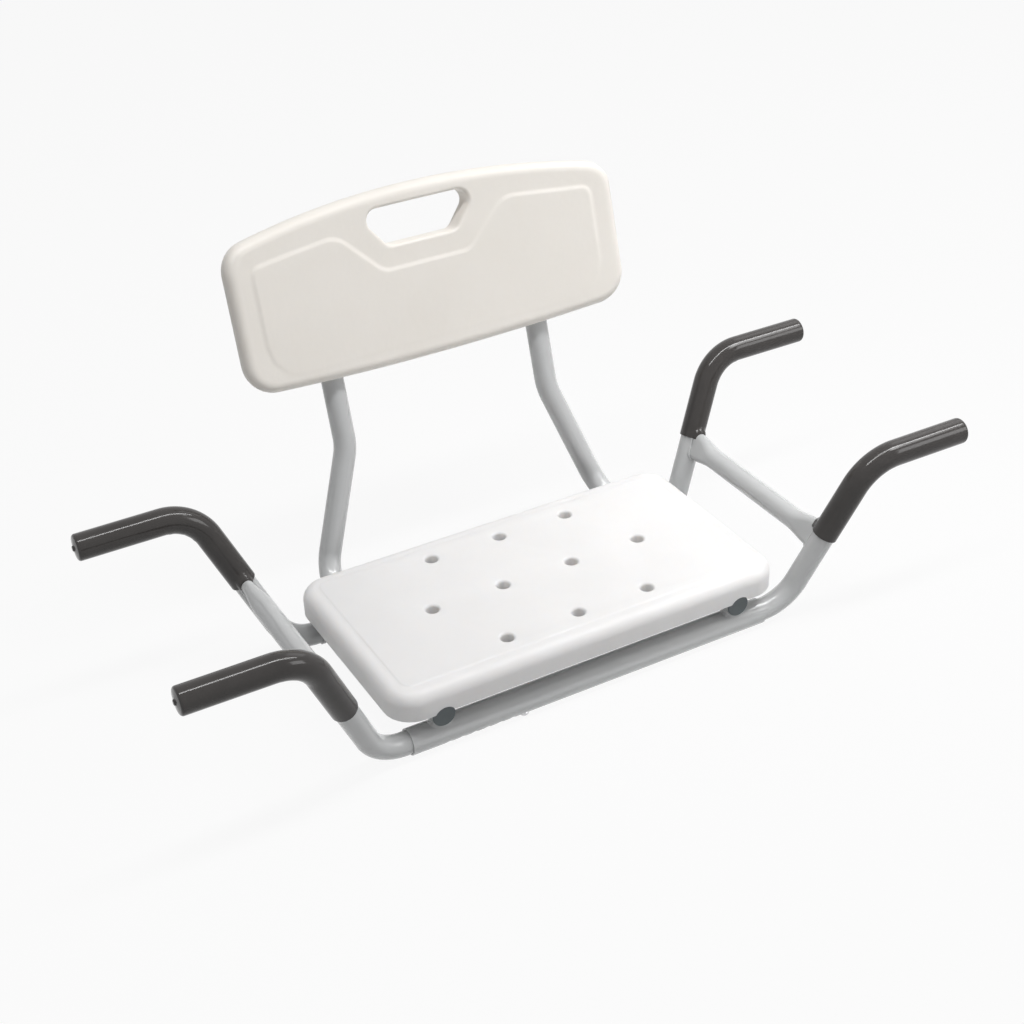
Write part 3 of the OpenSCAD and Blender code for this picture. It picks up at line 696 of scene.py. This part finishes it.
    def build(self) -> Piece:
        """Lofts the panel round its edge, its faces and the slot, and cuts the post grooves.

        Returns:
            The finished panel.
        """
        outer = self.outline().samples(self.around)
        inner = self.slot_towards(outer)
        r, lip, t = self.edge_radius, self.slot_lip, self.thickness
        stations = [(0, r * (1 - s), t - r * (1 - c), False) for s, c in turned(self.edge_steps)]
        stations += [(0, r * (1 - c), r * (1 - s), False) for s, c in turned(self.edge_steps)]
        stations += [(k / self.face_rings, r, 0, True) for k in range(1, self.face_rings)]
        stations += [(1, lip * (1 - s), lip * (1 - c), s == 0) for s, c in turned(self.lip_steps)]
        stations += [(1, lip * (1 - c), t - lip * (1 - s), False) for s, c in turned(self.lip_steps)]
        stations += [(1 - k / self.back_rings, r, t, False) for k in range(1, self.back_rings)]
        shape = bmesh.new()
        loft(shape, [self._ring(outer, inner, *station) for station in stations], closed=True)
        place = Matrix.Translation(self.origin) @ Matrix.Rotation(math.radians(-self.lean_deg), 4, "X")
        bmesh.ops.transform(shape, matrix=place, verts=shape.verts[:])
        panel = make_object("back_panel_moulding", shape, PANEL_PLASTIC, 50)
        cutter = bmesh.new()
        length = self.groove_top - self.low + self.groove_past
        for x in (-self.post_x, self.post_x):
            middle = Matrix.Translation((x, 0, self.groove_top - length / 2))
            add_rod(cutter, self.groove_radius, length, place @ middle)
        carved(panel, cutter, 50)
        return panel

    def _ring(
        self, outer: Sequence[Sample], inner: Sequence[Sample], share: float, inset: float, depth: float,
        on_front: bool,
    ) -> list[Vector]:
        """Places one ring of the panel's skin.

        Args:
            outer: Samples of the outer outline.
            inner: The matching samples of the slot.
            share: Share of the way to the slot.
            inset: How far the ring lies in from the outline or out from the slot.
            depth: How far it lies behind the front face.
            on_front: Whether the cushion field lifts it.

        Returns:
            The ring's points in the panel's own frame.
        """
        lip = self.slot_lip if 0 < share < 1 else inset
        edge = inset if share < 1 else 0.0
        ring = []
        for o, s in zip(outer, inner):
            ox, oz = o[0] - edge * o[2], o[1] - edge * o[3]
            sx, sz = s[0] + lip * s[2], s[1] + lip * s[3]
            x, z = ox + (sx - ox) * share, oz + (sz - oz) * share
            rise = self.field_height(x, z) if on_front else 0.0
            ring.append(Vector((x, self.depth_at(x) + depth - rise, z)))
        return ring


def edge_distance(corners: Sequence[tuple[float, float]], x: float, z: float) -> float:
    """Signed distance from a point to a convex polygon, negative inside.

    Args:
        corners: The polygon's corners in counter-clockwise order.
        x: The point across.
        z: The point up.

    Returns:
        The distance in the same unit.
    """
    best, inside = math.inf, True
    for (ax, az), (bx, bz) in zip(corners, [*corners[1:], corners[0]]):
        ex, ez, px, pz = bx - ax, bz - az, x - ax, z - az
        s = min(1.0, max(0.0, (px * ex + pz * ez) / (ex * ex + ez * ez)))
        best = min(best, math.hypot(px - ex * s, pz - ez * s))
        inside = inside and ex * pz - ez * px >= 0
    return -best if inside else best


def soft_max(a: float, b: float, width: float) -> float:
    """The larger of two distances, with their corner rounded over a width."""
    h = max(width - abs(a - b), 0.0) / width
    return max(a, b) + h * h * width / 4


def smooth_step(t: float) -> float:
    """A soft ramp from 0 to 1, level outside those limits."""
    t = min(1.0, max(0.0, t))
    return t * t * (3 - 2 * t)


@dataclass
class SeatBoard:
    """The moulded seat board with its raised field, drain holes and rail channels."""

    width: float = 0.410
    depth: float = 0.222
    thickness: float = 0.028
    under_z: float = 0.0416
    corner_radius: float = 0.028
    top_radius: float = 0.012
    under_radius: float = 0.0015
    field_rise: float = 0.0008
    field_inset: float = 0.017
    field_slope: float = 0.0026
    field_steps: int = 4
    drain_radius: float = 0.00625
    drain_pitch: float = 0.075
    drain_past: float = 0.003
    mouth_radius: float = 0.0026
    rail_x: float = 0.158
    rail_z: float = 0.0365
    channel_radius: float = 0.01125
    channel_past: float = 0.01

    def drains(self) -> list[tuple[float, float]]:
        """Sets a row of four drain holes between two rows of three.

        Returns:
            Each hole's place across and along the seat.
        """
        return [
            ((i - (1.5 if row == 0 else 1)) * self.drain_pitch, row * self.drain_pitch)
            for row in (-1, 0, 1)
            for i in range(4 if row == 0 else 3)
        ]

    def build(self) -> Piece:
        """Rounds a block into the board, raises its field and cuts its holes.

        Returns:
            The finished seat board.
        """
        body_height = self.thickness - self.field_rise
        shape = bmesh.new()
        size = Matrix.Diagonal((self.width, self.depth, body_height, 1))
        place = Matrix.Translation((0, -MIDDLE_Y, self.under_z + body_height / 2))
        bmesh.ops.create_cube(shape, size=1, matrix=place @ size)
        upright = [e for e in shape.edges if abs(e.verts[0].co.z - e.verts[1].co.z) > body_height / 2]
        round_edges(shape, upright, self.corner_radius, 14)
        round_edges(shape, self._rim(shape, self.under_z + body_height), self.top_radius, 10)
        round_edges(shape, self._rim(shape, self.under_z), self.under_radius, 5)
        top = max(shape.faces, key=lambda f: (round(f.calc_center_median().z, 6), f.calc_area()))
        margin = self.field_inset - self.top_radius - self.field_slope / 2
        bmesh.ops.inset_region(shape, faces=[top], thickness=margin)
        levels = [smooth_step(k / self.field_steps) for k in range(self.field_steps + 1)]
        for low, high in zip(levels, levels[1:]):
            bmesh.ops.inset_region(shape, faces=[top], thickness=self.field_slope / self.field_steps)
            bmesh.ops.translate(shape, verts=list(top.verts), vec=(0, 0, self.field_rise * (high - low)))
        board = make_object("seat_board_moulding", shape, SEAT_PLASTIC, 40)
        carved(board, self._cutter(), 50)
        return board

    def _rim(self, shape: Shape, height: float) -> list[bmesh.types.BMEdge]:
        """Edges that lie at a height, to within 0.01 mm."""
        return [e for e in shape.edges if all(abs(v.co.z - height) < 1e-5 for v in e.verts)]

    def _cutter(self) -> Shape:
        """Shapes the drain holes with their rounded mouths, and the channels over the rails.

        Returns:
            What is cut out of the board.
        """
        cutter = bmesh.new()
        top_z, r, m = self.under_z + self.thickness, self.drain_radius, self.mouth_radius
        low, high = self.under_z - self.drain_past, top_z + self.drain_past
        foot = [(r + m - m * s, self.under_z + m - m * c) for s, c in turned(6)]
        mouth = [(r + m * (1 - c), top_z - m + m * s) for s, c in turned(6)]
        profile = [(0, low), (r + m, low), *foot, *mouth, (r + m, high), (0, high)]
        for x, y in self.drains():
            lathe(cutter, profile, Matrix.Translation((x, y - MIDDLE_Y, 0)))
        for x in (-self.rail_x, self.rail_x):
            place = Matrix.Translation((x, -MIDDLE_Y, self.rail_z)) @ Matrix.Rotation(math.pi / 2, 4, "X")
            add_rod(cutter, self.channel_radius, self.depth + 2 * self.channel_past, place)
        return cutter


@dataclass(frozen=True)
class Corner:
    """One of the four corners of the seat.

    Args:
        side: Its side.
        front: Whether it is at the front.
    """

    side: Side
    front: bool

    def name(self) -> str:
        """Name of the corner."""
        return f"{self.side.label()}_{'front' if self.front else 'rear'}"

    def at(self, x: float, y: float, z: float) -> Vector:
        """A place given by its distances from the middle of the frame, put at this corner."""
        return Vector((self.side.value * x, (-y if self.front else y) - MIDDLE_Y, z))

    def body(self) -> Body:
        """The body of this corner's handle."""
        return Body.LEFT_ARMS if self.side is Side.LEFT else Body.RIGHT_ARMS


@dataclass(frozen=True)
class BentPath:
    """A straight run, one round bend and a second straight run.

    Args:
        start: Where the first run starts.
        corner: Where the two runs would cross.
        out: Direction of the second run.
        end: Length of the second run from the corner.
        radius: Radius of the bend.
    """

    start: Vector
    corner: Vector
    out: Vector
    end: float
    radius: float

    def marks(self) -> tuple[Vector, Vector, float, float, float]:
        """Finds how the path lies.

        Returns:
            Direction of the first run, the direction from it to the inside of the bend, and the lengths at
            which the bend starts, the bend ends and the path ends.
        """
        rise = (self.corner - self.start).normalized()
        inside = (self.out - rise * rise.dot(self.out)).normalized()
        turn = rise.angle(self.out)
        leg = self.radius * math.tan(turn / 2)
        first = (self.corner - self.start).length - leg
        last = first + self.radius * turn
        return rise, inside, first, last, last + self.end - leg

    def at(self, s: float) -> tuple[Vector, Vector, Vector]:
        """Walks along the path.

        Args:
            s: Length along the path.

        Returns:
            The place there, the direction to the inside of the bend, and the one square to the bend.
        """
        rise, inside, first, last, whole = self.marks()
        a = min(max(s - first, 0.0), last - first) / self.radius
        near = inside * math.cos(a) - rise * math.sin(a)
        if s <= first:
            place = self.start + rise * s
        elif s >= last:
            place = self.corner + self.out * (self.end - (whole - s))
        else:
            place = self.start + rise * first + (inside - near) * self.radius
        return place, near, rise.cross(inside)


@dataclass
class Grip:
    """The dipped grip of one corner, with a hood over the crossbar end and a stub at its tip.

    Args:
        corner: The corner it belongs to.
    """

    corner: Corner
    foot: tuple[float, float, float] = (0.220, 0.097, 0.0127)
    bend: tuple[float, float, float] = (0.288, 0.128, 0.1653)
    tip_x: float = 0.3976
    radius: float = 0.0127
    bore: float = 0.01112
    bend_radius: float = 0.045
    mouth: float = 0.082
    mouth_depth: float = 0.006
    tip_round: float = 0.0026
    tip_crown: float = 0.001
    crown_shares: tuple[float, float] = (0.85, 0.65)
    stub_radius: float = 0.0028
    stub_height: float = 0.0024
    stub_round: float = 0.0011
    stub_foot: float = 1.5
    stub_neck: float = 1.1
    hood_reach: float = 0.0034
    hood_top: float = 0.0865
    hood_half: float = 0.0072
    # Start and width of the hood's soft edge, in halves of the hood.
    hood_edge: tuple[float, float] = (0.55, 0.75)
    crease: float = 0.00045
    crease_angle: float = 0.7
    crease_length: float = 0.0022
    # The creases inside the bend: place along it, and height in creases.
    creases: tuple[tuple[float, float], ...] = ((0.18, 0.6), (0.5, -0.5), (0.86, 1.0))
    # A ring larger than the bore by a hair counts as the outer skin.
    hair: float = 1e-5
    around: int = 72
    step: float = 0.0018

    def path(self) -> BentPath:
        """Finds the middle line of the handle tube.

        Returns:
            The line from the tube's foot to the grip's tip.
        """
        side = self.corner.side.value
        return BentPath(
            self.corner.at(*self.foot), self.corner.at(*self.bend), Vector((side, 0, 0)),
            self.tip_x - self.bend[0], self.bend_radius)

    def build(self) -> Piece:
        """Lofts the grip from inside its mouth to the tip of its stub.

        Returns:
            The finished grip.
        """
        path = self.path()
        length = path.marks()[-1]
        lip, crown = self.radius - self.bore, self.radius - self.tip_round
        start, full = self.mouth + lip, length - self.tip_round
        stations = [(self.mouth + self.mouth_depth, self.bore), (start, self.bore + self.hair)]
        stations += [
            (self.mouth + lip / 2 * (1 - s), self.bore + lip / 2 * (1 - c) + 2 * self.hair)
            for s, c in turned(6, 180)[1:]]
        steps = round((full - start) / self.step)
        stations += [(start + (full - start) * k / steps, self.radius) for k in range(steps + 1)]
        stations += [(full + self.tip_round * s, crown + self.tip_round * c) for s, c in turned(6)[1:]]
        radii = [*(share * crown for share in self.crown_shares), self.stub_radius * self.stub_foot]
        stations += [(length + self.tip_crown * (1 - (r / crown) ** 2), r) for r in radii]
        stations.append((length + self.tip_crown, self.stub_radius * self.stub_neck))
        top = length + self.stub_height - self.stub_round
        stations += [
            (top + self.stub_round * s, self.stub_radius + self.stub_round * (c - 1)) for s, c in turned(5)]
        shape = bmesh.new()
        loft(shape, [self._ring(path, s, r) for s, r in stations])
        return make_object(f"{self.corner.name()}_vinyl_grip", shape, GRIP_VINYL, 60)

    def _ring(self, path: BentPath, s: float, radius: float) -> list[Vector]:
        """Places a ring of the skin.

        Args:
            path: The middle line.
            s: Length along it.
            radius: Radius of the plain ring.

        Returns:
            The ring's points.
        """
        mid, near, across = path.at(s)
        points = []
        for k in range(self.around):
            angle = math.tau * k / self.around
            swell = self._swell(path, s, angle) if radius > self.bore else 0.0
            points.append(mid + (near * math.cos(angle) + across * math.sin(angle)) * (radius + swell))
        return points

    def _swell(self, path: BentPath, s: float, angle: float) -> float:
        """Adds up the hood over the crossbar end and the creases inside the bend.

        Args:
            path: The middle line.
            s: Length along it.
            angle: Angle round the grip, from the inside of the bend.

        Returns:
            How far the skin stands out from the plain round grip.
        """
        rise, inside, first, last, _ = path.marks()
        across = rise.cross(inside)
        to_bar = Vector((0, 1 if self.corner.front else -1, 0))
        off = math.remainder(angle - math.atan2(to_bar.dot(across), to_bar.dot(inside)), math.tau)
        far = math.hypot(off * self.radius, max(0.0, s - self.hood_top))
        edge_start, edge_width = (self.hood_half * share for share in self.hood_edge)
        hood = self.hood_reach * (1 - smooth_step((far - edge_start) / edge_width))
        inner = math.exp(-((math.remainder(angle, math.tau) / self.crease_angle) ** 2))
        wave = sum(
            math.exp(-(((s - first - (last - first) * share) / self.crease_length) ** 2)) * size
            for share, size in self.creases)
        return hood + self.crease * inner * wave


@dataclass
class Crossbar:
    """The tube between the two handle tubes of a side, its ends pressed flat and welded.

    Args:
        side: The side it belongs to.
    """

    side: Side
    middle: tuple[float, float] = (0.250815, 0.081853)
    half: float = 0.111048
    lean: tuple[float, float, float] = (0.400196, 0.182442, 0.898086)
    arm_radius: float = 0.0111
    arm_length: float = 0.09
    radius: float = 0.0105
    end_height: float = 0.029
    end_width: float = 0.012
    end_past: float = 0.008
    flat_past: float = 0.003
    flat_length: float = 0.034
    ring_gap: float = 0.0012
    end_rings: int = 33
    around: int = 72
    bead: float = 0.0015
    bead_off: float = 0.0004
    bead_steps: int = 168
    bead_around: int = 12

    def _axes(self) -> tuple[Vector, Vector, Vector]:
        """Finds how the bar lies.

        Returns:
            Its middle, and its directions across and up along the handle tubes.
        """
        sign = self.side.value
        up = Vector((sign * self.lean[0], 0, self.lean[2])).normalized()
        across = Vector((up.z, 0, -up.x))
        return Vector((sign * self.middle[0], -MIDDLE_Y, self.middle[1])), across, up

    def _arm(self, front: bool) -> tuple[Vector, Vector]:
        """Finds a handle tube.

        Args:
            front: Whether it is the front one.

        Returns:
            Its direction, and the place where the bar's axis meets it.
        """
        sign = -1 if front else 1
        middle, _, _ = self._axes()
        lean = Vector((self.side.value * self.lean[0], sign * self.lean[1], self.lean[2]))
        return lean, middle + Vector((0, sign * self.half, 0))

    def _oval(self, r: float, spread: float, count: int) -> list[tuple[float, float]]:
        """Points, across and up, of a circle whose halves are moved up and down by a spread."""
        turns = [math.tau * (k + 0.5) / count for k in range(count)]
        return [(r * math.cos(a), r * math.sin(a) + math.copysign(spread, math.sin(a))) for a in turns]

    def build(self) -> Piece:
        """Lofts the bar and fits its ends to the handle tubes.

        Returns:
            The finished crossbar.
        """
        middle, across, up = self._axes()
        mouth = self.half - self.arm_radius
        neck, flat_end = mouth - self.flat_length, mouth - self.flat_past
        stops = [-mouth - self.end_past]
        stops += [-mouth - self.flat_past + k * self.ring_gap for k in range(self.end_rings)]
        stops.append(-neck + self.end_past / 2)
        r_flat = self.end_width / 2
        rings = []
        for y in [*stops, *(-y for y in reversed(stops))]:
            flat = smooth_step((abs(y) - neck) / (flat_end - neck))
            r, spread = self.radius + (r_flat - self.radius) * flat, (self.end_height / 2 - r_flat) * flat
            oval = self._oval(r, spread, self.around)
            rings.append([middle + across * u + up * v + Vector((0, y, 0)) for u, v in oval])
        shape = bmesh.new()
        loft(shape, rings)
        bar = make_object(f"{self.side.label()}_welded_crossbar", shape, TUBE_PAINT, 45)
        cutter = bmesh.new()
        for front in (True, False):
            lean, mid = self._arm(front)
            place = Matrix.Translation(mid) @ lean.to_track_quat("Z", "Y").to_matrix().to_4x4()
            add_rod(cutter, self.arm_radius - SUNK, self.arm_length, place, 128)
        carved(bar, cutter, 45)
        return bar

    def build_bead(self, front: bool) -> Piece:
        """Lays a rippled weld bead round one end of the bar.

        Args:
            front: Whether it is the end at the front handle tube.

        Returns:
            The bead.
        """
        _, across, up = self._axes()
        lean, mid = self._arm(front)
        inwards = Vector((0, 1 if front else -1, 0))
        step = inwards - lean * inwards.dot(lean)
        r_flat = self.end_width / 2
        path = []
        for u, v in self._oval(r_flat + self.bead_off, self.end_height / 2 - r_flat, self.bead_steps):
            off = across * u + up * v
            flat_off = off - lean * off.dot(lean)
            b, c = flat_off.dot(step), flat_off.length_squared - (self.arm_radius + SUNK) ** 2
            root = (-b + math.sqrt(max(0.0, b * b - step.length_squared * c))) / step.length_squared
            path.append(mid + off + inwards * root)
        rings = []
        for k, place in enumerate(path):
            ahead = (path[(k + 1) % len(path)] - path[k - 1]).normalized()
            side = ahead.cross(inwards).normalized()
            other = side.cross(ahead)
            # A ripple every seven steps, and a slow change of thickness along the bead.
            size = self.bead * (0.86 + 0.16 * abs(math.sin(math.pi * k / 7)) + 0.05 * math.sin(k * 0.9))
            rings.append([
                place + (side * math.cos(t) + other * math.sin(t)) * size
                for t in (math.tau * j / self.bead_around for j in range(self.bead_around))])
        shape = bmesh.new()
        loft(shape, rings, closed=True)
        name = f"{self.side.label()}_crossbar_bead_{'front' if front else 'rear'}"
        return make_object(name, shape, TUBE_PAINT, 70)


@dataclass
class RailWelds:
    """The four fillet welds between the side rails and the cross tubes."""

    rail_x: float = 0.158
    rail_z: float = 0.0365
    rail_radius: float = 0.0111
    cross_y: float = 0.097
    cross_z: float = 0.0127
    reach: float = 0.0105
    half_width: float = 0.0085
    # How much slimmer the fillet is halfway up, and how much wider it is at its foot.
    cheek: float = 0.13
    spread: float = 0.07
    squareness: float = 0.8
    ripple: float = 0.00035
    ripples: int = 10
    levels: int = 12
    # Sizes of the rings that close both ends, as shares of the outline.
    end_rings: tuple[float, ...] = (0.05, 0.35, 0.7)
    around: int = 120

    def build(self) -> Piece:
        """Lofts a rippled, hollow-cheeked fillet at each crossing.

        Returns:
            The four fillets as one piece.
        """
        shape = bmesh.new()
        for x in (-self.rail_x, self.rail_x):
            for y in (-self.cross_y, self.cross_y):
                self._fillet(shape, Vector((x, y - MIDDLE_Y, 0)))
        return make_object("rail_fillet_welds", shape, TUBE_PAINT, 70)

    def _fillet(self, shape: Shape, place: Vector) -> None:
        """Adds one fillet, whose ends follow the two tubes.

        Args:
            shape: The bmesh that gets it.
            place: Middle of the crossing on the ground.
        """
        stations = [(0.0, share) for share in self.end_rings]
        stations += [(j / self.levels, 1.0) for j in range(self.levels + 1)]
        stations += [(1.0, share) for share in reversed(self.end_rings)]
        rings = []
        for t, share in stations:
            bulge = math.sin(math.pi * t)
            grow = 1 - self.cheek * bulge + (self.spread if t < 0.5 else 0.0) * (1 - 2 * t)
            ring = []
            for k in range(self.around):
                a = math.tau * k / self.around
                wave = self.ripple * abs(math.sin(self.ripples * a)) * (1 - bulge)
                x, y = (
                    share * math.copysign(abs(side) ** self.squareness, side) * (reach * grow + wave)
                    for side, reach in ((math.cos(a), self.reach), (math.sin(a), self.half_width)))
                low = self.cross_z + math.sqrt(max(0.0, (self.cross_z - SUNK) ** 2 - y * y))
                high = self.rail_z - math.sqrt(max(0.0, (self.rail_radius - SUNK) ** 2 - x * x))
                ring.append(place + Vector((x, y, low + (high - low) * t)))
            rings.append(ring)
        loft(shape, rings)


@dataclass(frozen=True)
class HairpinSpring:
    """The bent steel strip inside a handle tube that pushes the snap button out.

    Its own frame stands on the tube's axis at the button, X away from the handle and Z out through the
    button.

    Args:
        side: Side of the seat it belongs to.
    """

    side: Side
    button_x: float = 0.076
    button_y: float = 0.097
    button_z: float = 0.0127
    turn_deg: float = 40.0
    high: float = 0.0064446
    low: float = -0.0087345
    reach: float = 0.006
    leaf_length: float = 0.034
    bow_radius: float = 0.003
    bow_steps: int = 24
    thickness: float = 0.0008
    width: float = 0.006
    edge_radius: float = 0.00012

    def place(self) -> Matrix:
        """Finds the spring's own frame; the right one is the left one turned half round.

        Returns:
            The frame in the shared frame.
        """
        half_turn = Matrix.Rotation(math.pi if self.side is Side.RIGHT else 0.0, 4, "Z")
        turn = Matrix.Rotation(math.radians(180 - self.turn_deg), 4, "X")
        at_button = Matrix.Translation((-self.button_x, -self.button_y, self.button_z)) @ turn
        return Matrix.Translation((0, -MIDDLE_Y, 0)) @ half_turn @ at_button

    def ends(self) -> tuple[Vector, Vector]:
        """A point on the resting leaf and one on the leaf under the button."""
        return self.place() @ Vector((0, 0, self.low)), self.place() @ Vector((0, 0, self.high))

    def build(self) -> Piece:
        """Lofts the strip along its bent middle line.

        Returns:
            The finished spring.
        """
        path = [Vector((self.reach, self.high)), Vector((-self.reach, self.high))]
        path += [
            Vector((-s, c)) * self.bow_radius - Vector((self.leaf_length, 0))
            for s, c in turned(self.bow_steps, 180)]
        path += [Vector((-self.reach, self.low)), Vector((self.reach, self.low))]
        rings = []
        for i, point in enumerate(path):
            before = (point - path[i - 1]).normalized() if i else (path[1] - point).normalized()
            after = (path[i + 1] - point).normalized() if i + 1 < len(path) else before
            out = Vector((-before.y - after.y, before.x + after.x)).normalized()
            out *= self.thickness / 2 / out.dot(Vector((-before.y, before.x)))
            rings.append([
                Vector((point.x + k * out.x, j * self.width / 2, point.y + k * out.y))
                for j, k in ((-1, -1), (1, -1), (1, 1), (-1, 1))])
        shape = bmesh.new()
        loft(shape, rings)
        bmesh.ops.recalc_face_normals(shape, faces=shape.faces[:])
        sharp = math.radians(60)
        corners = [e for e in shape.edges if len(e.link_faces) == 2 and e.calc_face_angle(0) > sharp]
        round_edges(shape, corners, self.edge_radius, 2)
        bmesh.ops.transform(shape, matrix=self.place(), verts=shape.verts[:])
        return make_object(f"{self.side.label()}_hairpin_spring", shape, SPRING_STEEL, 40)


@dataclass(frozen=True)
class Lamp:
    """One soft area lamp.

    Args:
        name: Name of the lamp.
        place: Where it stands.
        target: What it points at.
        size: Width and height of its face.
        power: Power in watts.
        spread_deg: Angle of the cone it lights.
    """

    name: str
    place: tuple[float, float, float]
    target: tuple[float, float, float]
    size: tuple[float, float]
    power: float
    spread_deg: float = 180

    def build(self) -> None:
        """Adds the lamp to the scene, with the width of its face level."""
        data = bpy.data.lights.new(self.name, "AREA")
        data.shape = "RECTANGLE"
        data.size, data.size_y = self.size
        data.energy = self.power
        data.spread = math.radians(self.spread_deg)
        back = (Vector(self.place) - Vector(self.target)).normalized()
        up = back.cross((1, 0, 0)).normalized()
        turn = Matrix((up.cross(back), up, back)).transposed()
        add_object(self.name, data).matrix_world = Matrix.Translation(self.place) @ turn.to_4x4()


@dataclass
class Studio:
    """Pale floor and backdrop, soft lamps and the camera."""

    eye: Vector = field(default_factory=lambda: Vector((-0.683231, -1.220382 - MIDDLE_Y, 1.022311)))
    azimuth_deg: float = -28.34
    elevation_deg: float = 32.286
    roll_deg: float = -2.058
    lens_mm: float = 62.45
    sensor_mm: float = 36
    lamps: tuple[Lamp, ...] = (
        Lamp("strip", (0.5, -0.35, 2.2), (0.5, -0.349, 0), (3.4, 0.22), 42),
        Lamp("right_front", (2.0, -1.8, 1.4), (0.1, 0, 0.15), (1.1, 1.0), 13),
        Lamp("right_back", (2.0, 0.9, 1.9), (0.2, 0, 0.1), (1.4, 1.2), 5),
        Lamp("right_arms", (0.8, -0.35, 1.1), (0.38, 0, 0.13), (0.5, 0.4), 0.45, 46),
    )
    floor_half: float = 12
    floor_z: float = -0.0008
    floor_grey: float = 0.62
    floor_glow: float = 0.92
    world_light: float = 0.17
    world_seen: float = 0.98

    def build(self) -> None:
        """Sets up floor, backdrop, lamps and camera."""
        self._floor()
        self._world()
        for lamp in self.lamps:
            lamp.build()
        self._camera()
        bpy.context.scene.view_settings.view_transform = "Standard"

    def _output(self, tree: Tree, kind: str, lit: Node, seen: Node, share: float) -> None:
        """Lets one shader light the seat, and shows another to camera, glossy and transmission rays.

        Args:
            tree: The node tree, whose nodes this completes.
            kind: Kind of its output node.
            lit: The shader that lights the seat.
            seen: The shader that is seen directly.
            share: Share of the seen shader in what is seen.
        """
        path = add_node(tree, "LightPath")
        direct = path.outputs["Is Camera Ray"]
        for ray in ("Is Glossy Ray", "Is Transmission Ray"):
            either = add_node(tree, "Math")
            either.operation = "MAXIMUM"
            wire(tree, (direct, either.inputs[0]), (path.outputs[ray], either.inputs[1]))
            direct = either.outputs[0]
        part = add_node(tree, "Math")
        part.operation = "MULTIPLY"
        part.inputs[1].default_value = share
        mix = add_node(tree, "MixShader")
        wire(
            tree, (direct, part.inputs[0]), (part.outputs[0], mix.inputs[0]), (lit.outputs[0], mix.inputs[1]),
            (seen.outputs[0], mix.inputs[2]), (mix.outputs[0], add_node(tree, kind).inputs["Surface"]))

    def _floor(self) -> None:
        """Lays a wide pale floor that keeps a faint shadow."""
        shape = bmesh.new()
        bmesh.ops.create_grid(shape, x_segments=2, y_segments=2, size=self.floor_half)
        bmesh.ops.translate(shape, verts=shape.verts[:], vec=(0, 0, self.floor_z))
        floor = add_object("floor", shape)
        paper = bpy.data.materials.new("floor_paper")
        paper.use_nodes = True
        tree = paper.node_tree
        tree.nodes.clear()
        matt = add_node(tree, "BsdfDiffuse", Color=(*[self.floor_grey] * 3, 1))
        glow = add_node(tree, "Emission", Color=(1, 1, 1, 1), Strength=1.0)
        self._output(tree, "OutputMaterial", matt, glow, self.floor_glow)
        floor.data.materials.append(paper)

    def _world(self) -> None:
        """Makes the world near-white where it is seen, and a plain soft light elsewhere."""
        world = bpy.data.worlds.new("studio")
        bpy.context.scene.world = world
        world.use_nodes = True
        tree = world.node_tree
        tree.nodes.clear()
        lit = add_node(tree, "Background", Color=(1, 1, 1, 1), Strength=self.world_light)
        seen = add_node(tree, "Background", Color=(*[self.world_seen] * 3, 1), Strength=1.0)
        self._output(tree, "OutputWorld", lit, seen, 1.0)

    def _camera(self) -> None:
        """Puts the camera at the photograph's viewing angle."""
        a, e, r = (math.radians(v) for v in (self.azimuth_deg, self.elevation_deg, self.roll_deg))
        across = Vector((math.cos(a), math.sin(a), 0))
        back = Vector((math.sin(a) * math.cos(e), -math.cos(a) * math.cos(e), math.sin(e)))
        up = back.cross(across)
        right_axis = math.cos(r) * across + math.sin(r) * up
        up_axis = -math.sin(r) * across + math.cos(r) * up
        data = bpy.data.cameras.new("camera")
        data.lens = self.lens_mm
        data.sensor_width = self.sensor_mm
        camera = add_object("camera", data)
        turn = Matrix((right_axis, up_axis, back)).transposed()
        camera.matrix_world = Matrix.Translation(self.eye) @ turn.to_4x4()
        bpy.context.scene.camera = camera


def dress_nodes() -> None:
    """Gives each CAD node the finish of its material slot."""
    slots = {row["node"]: row["material_slot"] for row in frame["record"]["subparts"]}
    for name, node in frame["nodes"].items():
        finish = SLOT_FINISH[slots[name]]
        node.data.materials.clear()
        node.data.materials.append(finish.material())
        log.info("node %s dressed with %s", name, finish.name)


def settle(piece: Piece, body: str, node: Optional[str] = None) -> None:
    """Puts a piece on its body and reports it.

    Args:
        piece: The piece.
        body: The body it rides on.
        node: The CAD node it stands for, if any.
    """
    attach(piece, body)
    if node:
        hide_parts(node)
    log.info("%s: %d faces", piece.name, len(piece.data.polygons))


def build_side(side: Side) -> None:
    """Builds the grips, the crossbar with its beads, and the spring of a side.

    Args:
        side: The side.
    """
    arms = Corner(side, True).body().value
    for front in (True, False):
        corner = Corner(side, front)
        settle(Grip(corner).build(), arms, f"{corner.name()}_grip")
    crossbar = Crossbar(side)
    settle(crossbar.build(), arms, f"{side.label()}_crossbar")
    for front in (True, False):
        settle(crossbar.build_bead(front), arms)
    hairpin = HairpinSpring(side)
    spring = hairpin.build()
    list(hairpin.ends())
    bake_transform(spring)
    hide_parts(f"{side.label()}_button_spring")
    log.info("%s: %d faces", spring.name, len(spring.data.polygons))


def main() -> None:
    """Builds and dresses every piece, then the stage."""
    logging.basicConfig(level=logging.INFO, format="%(message)s")
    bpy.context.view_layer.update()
    dress_nodes()
    settle(BackPanel().build(), Body.FRAME.value, "back_panel")
    settle(SeatBoard().build(), Body.FRAME.value, "seat_board")
    for side in Side:
        build_side(side)
    settle(RailWelds().build(), Body.FRAME.value, "rail_saddles")
    Studio().build()
    bpy.context.view_layer.update()


if __name__ == "__main__":
    main()
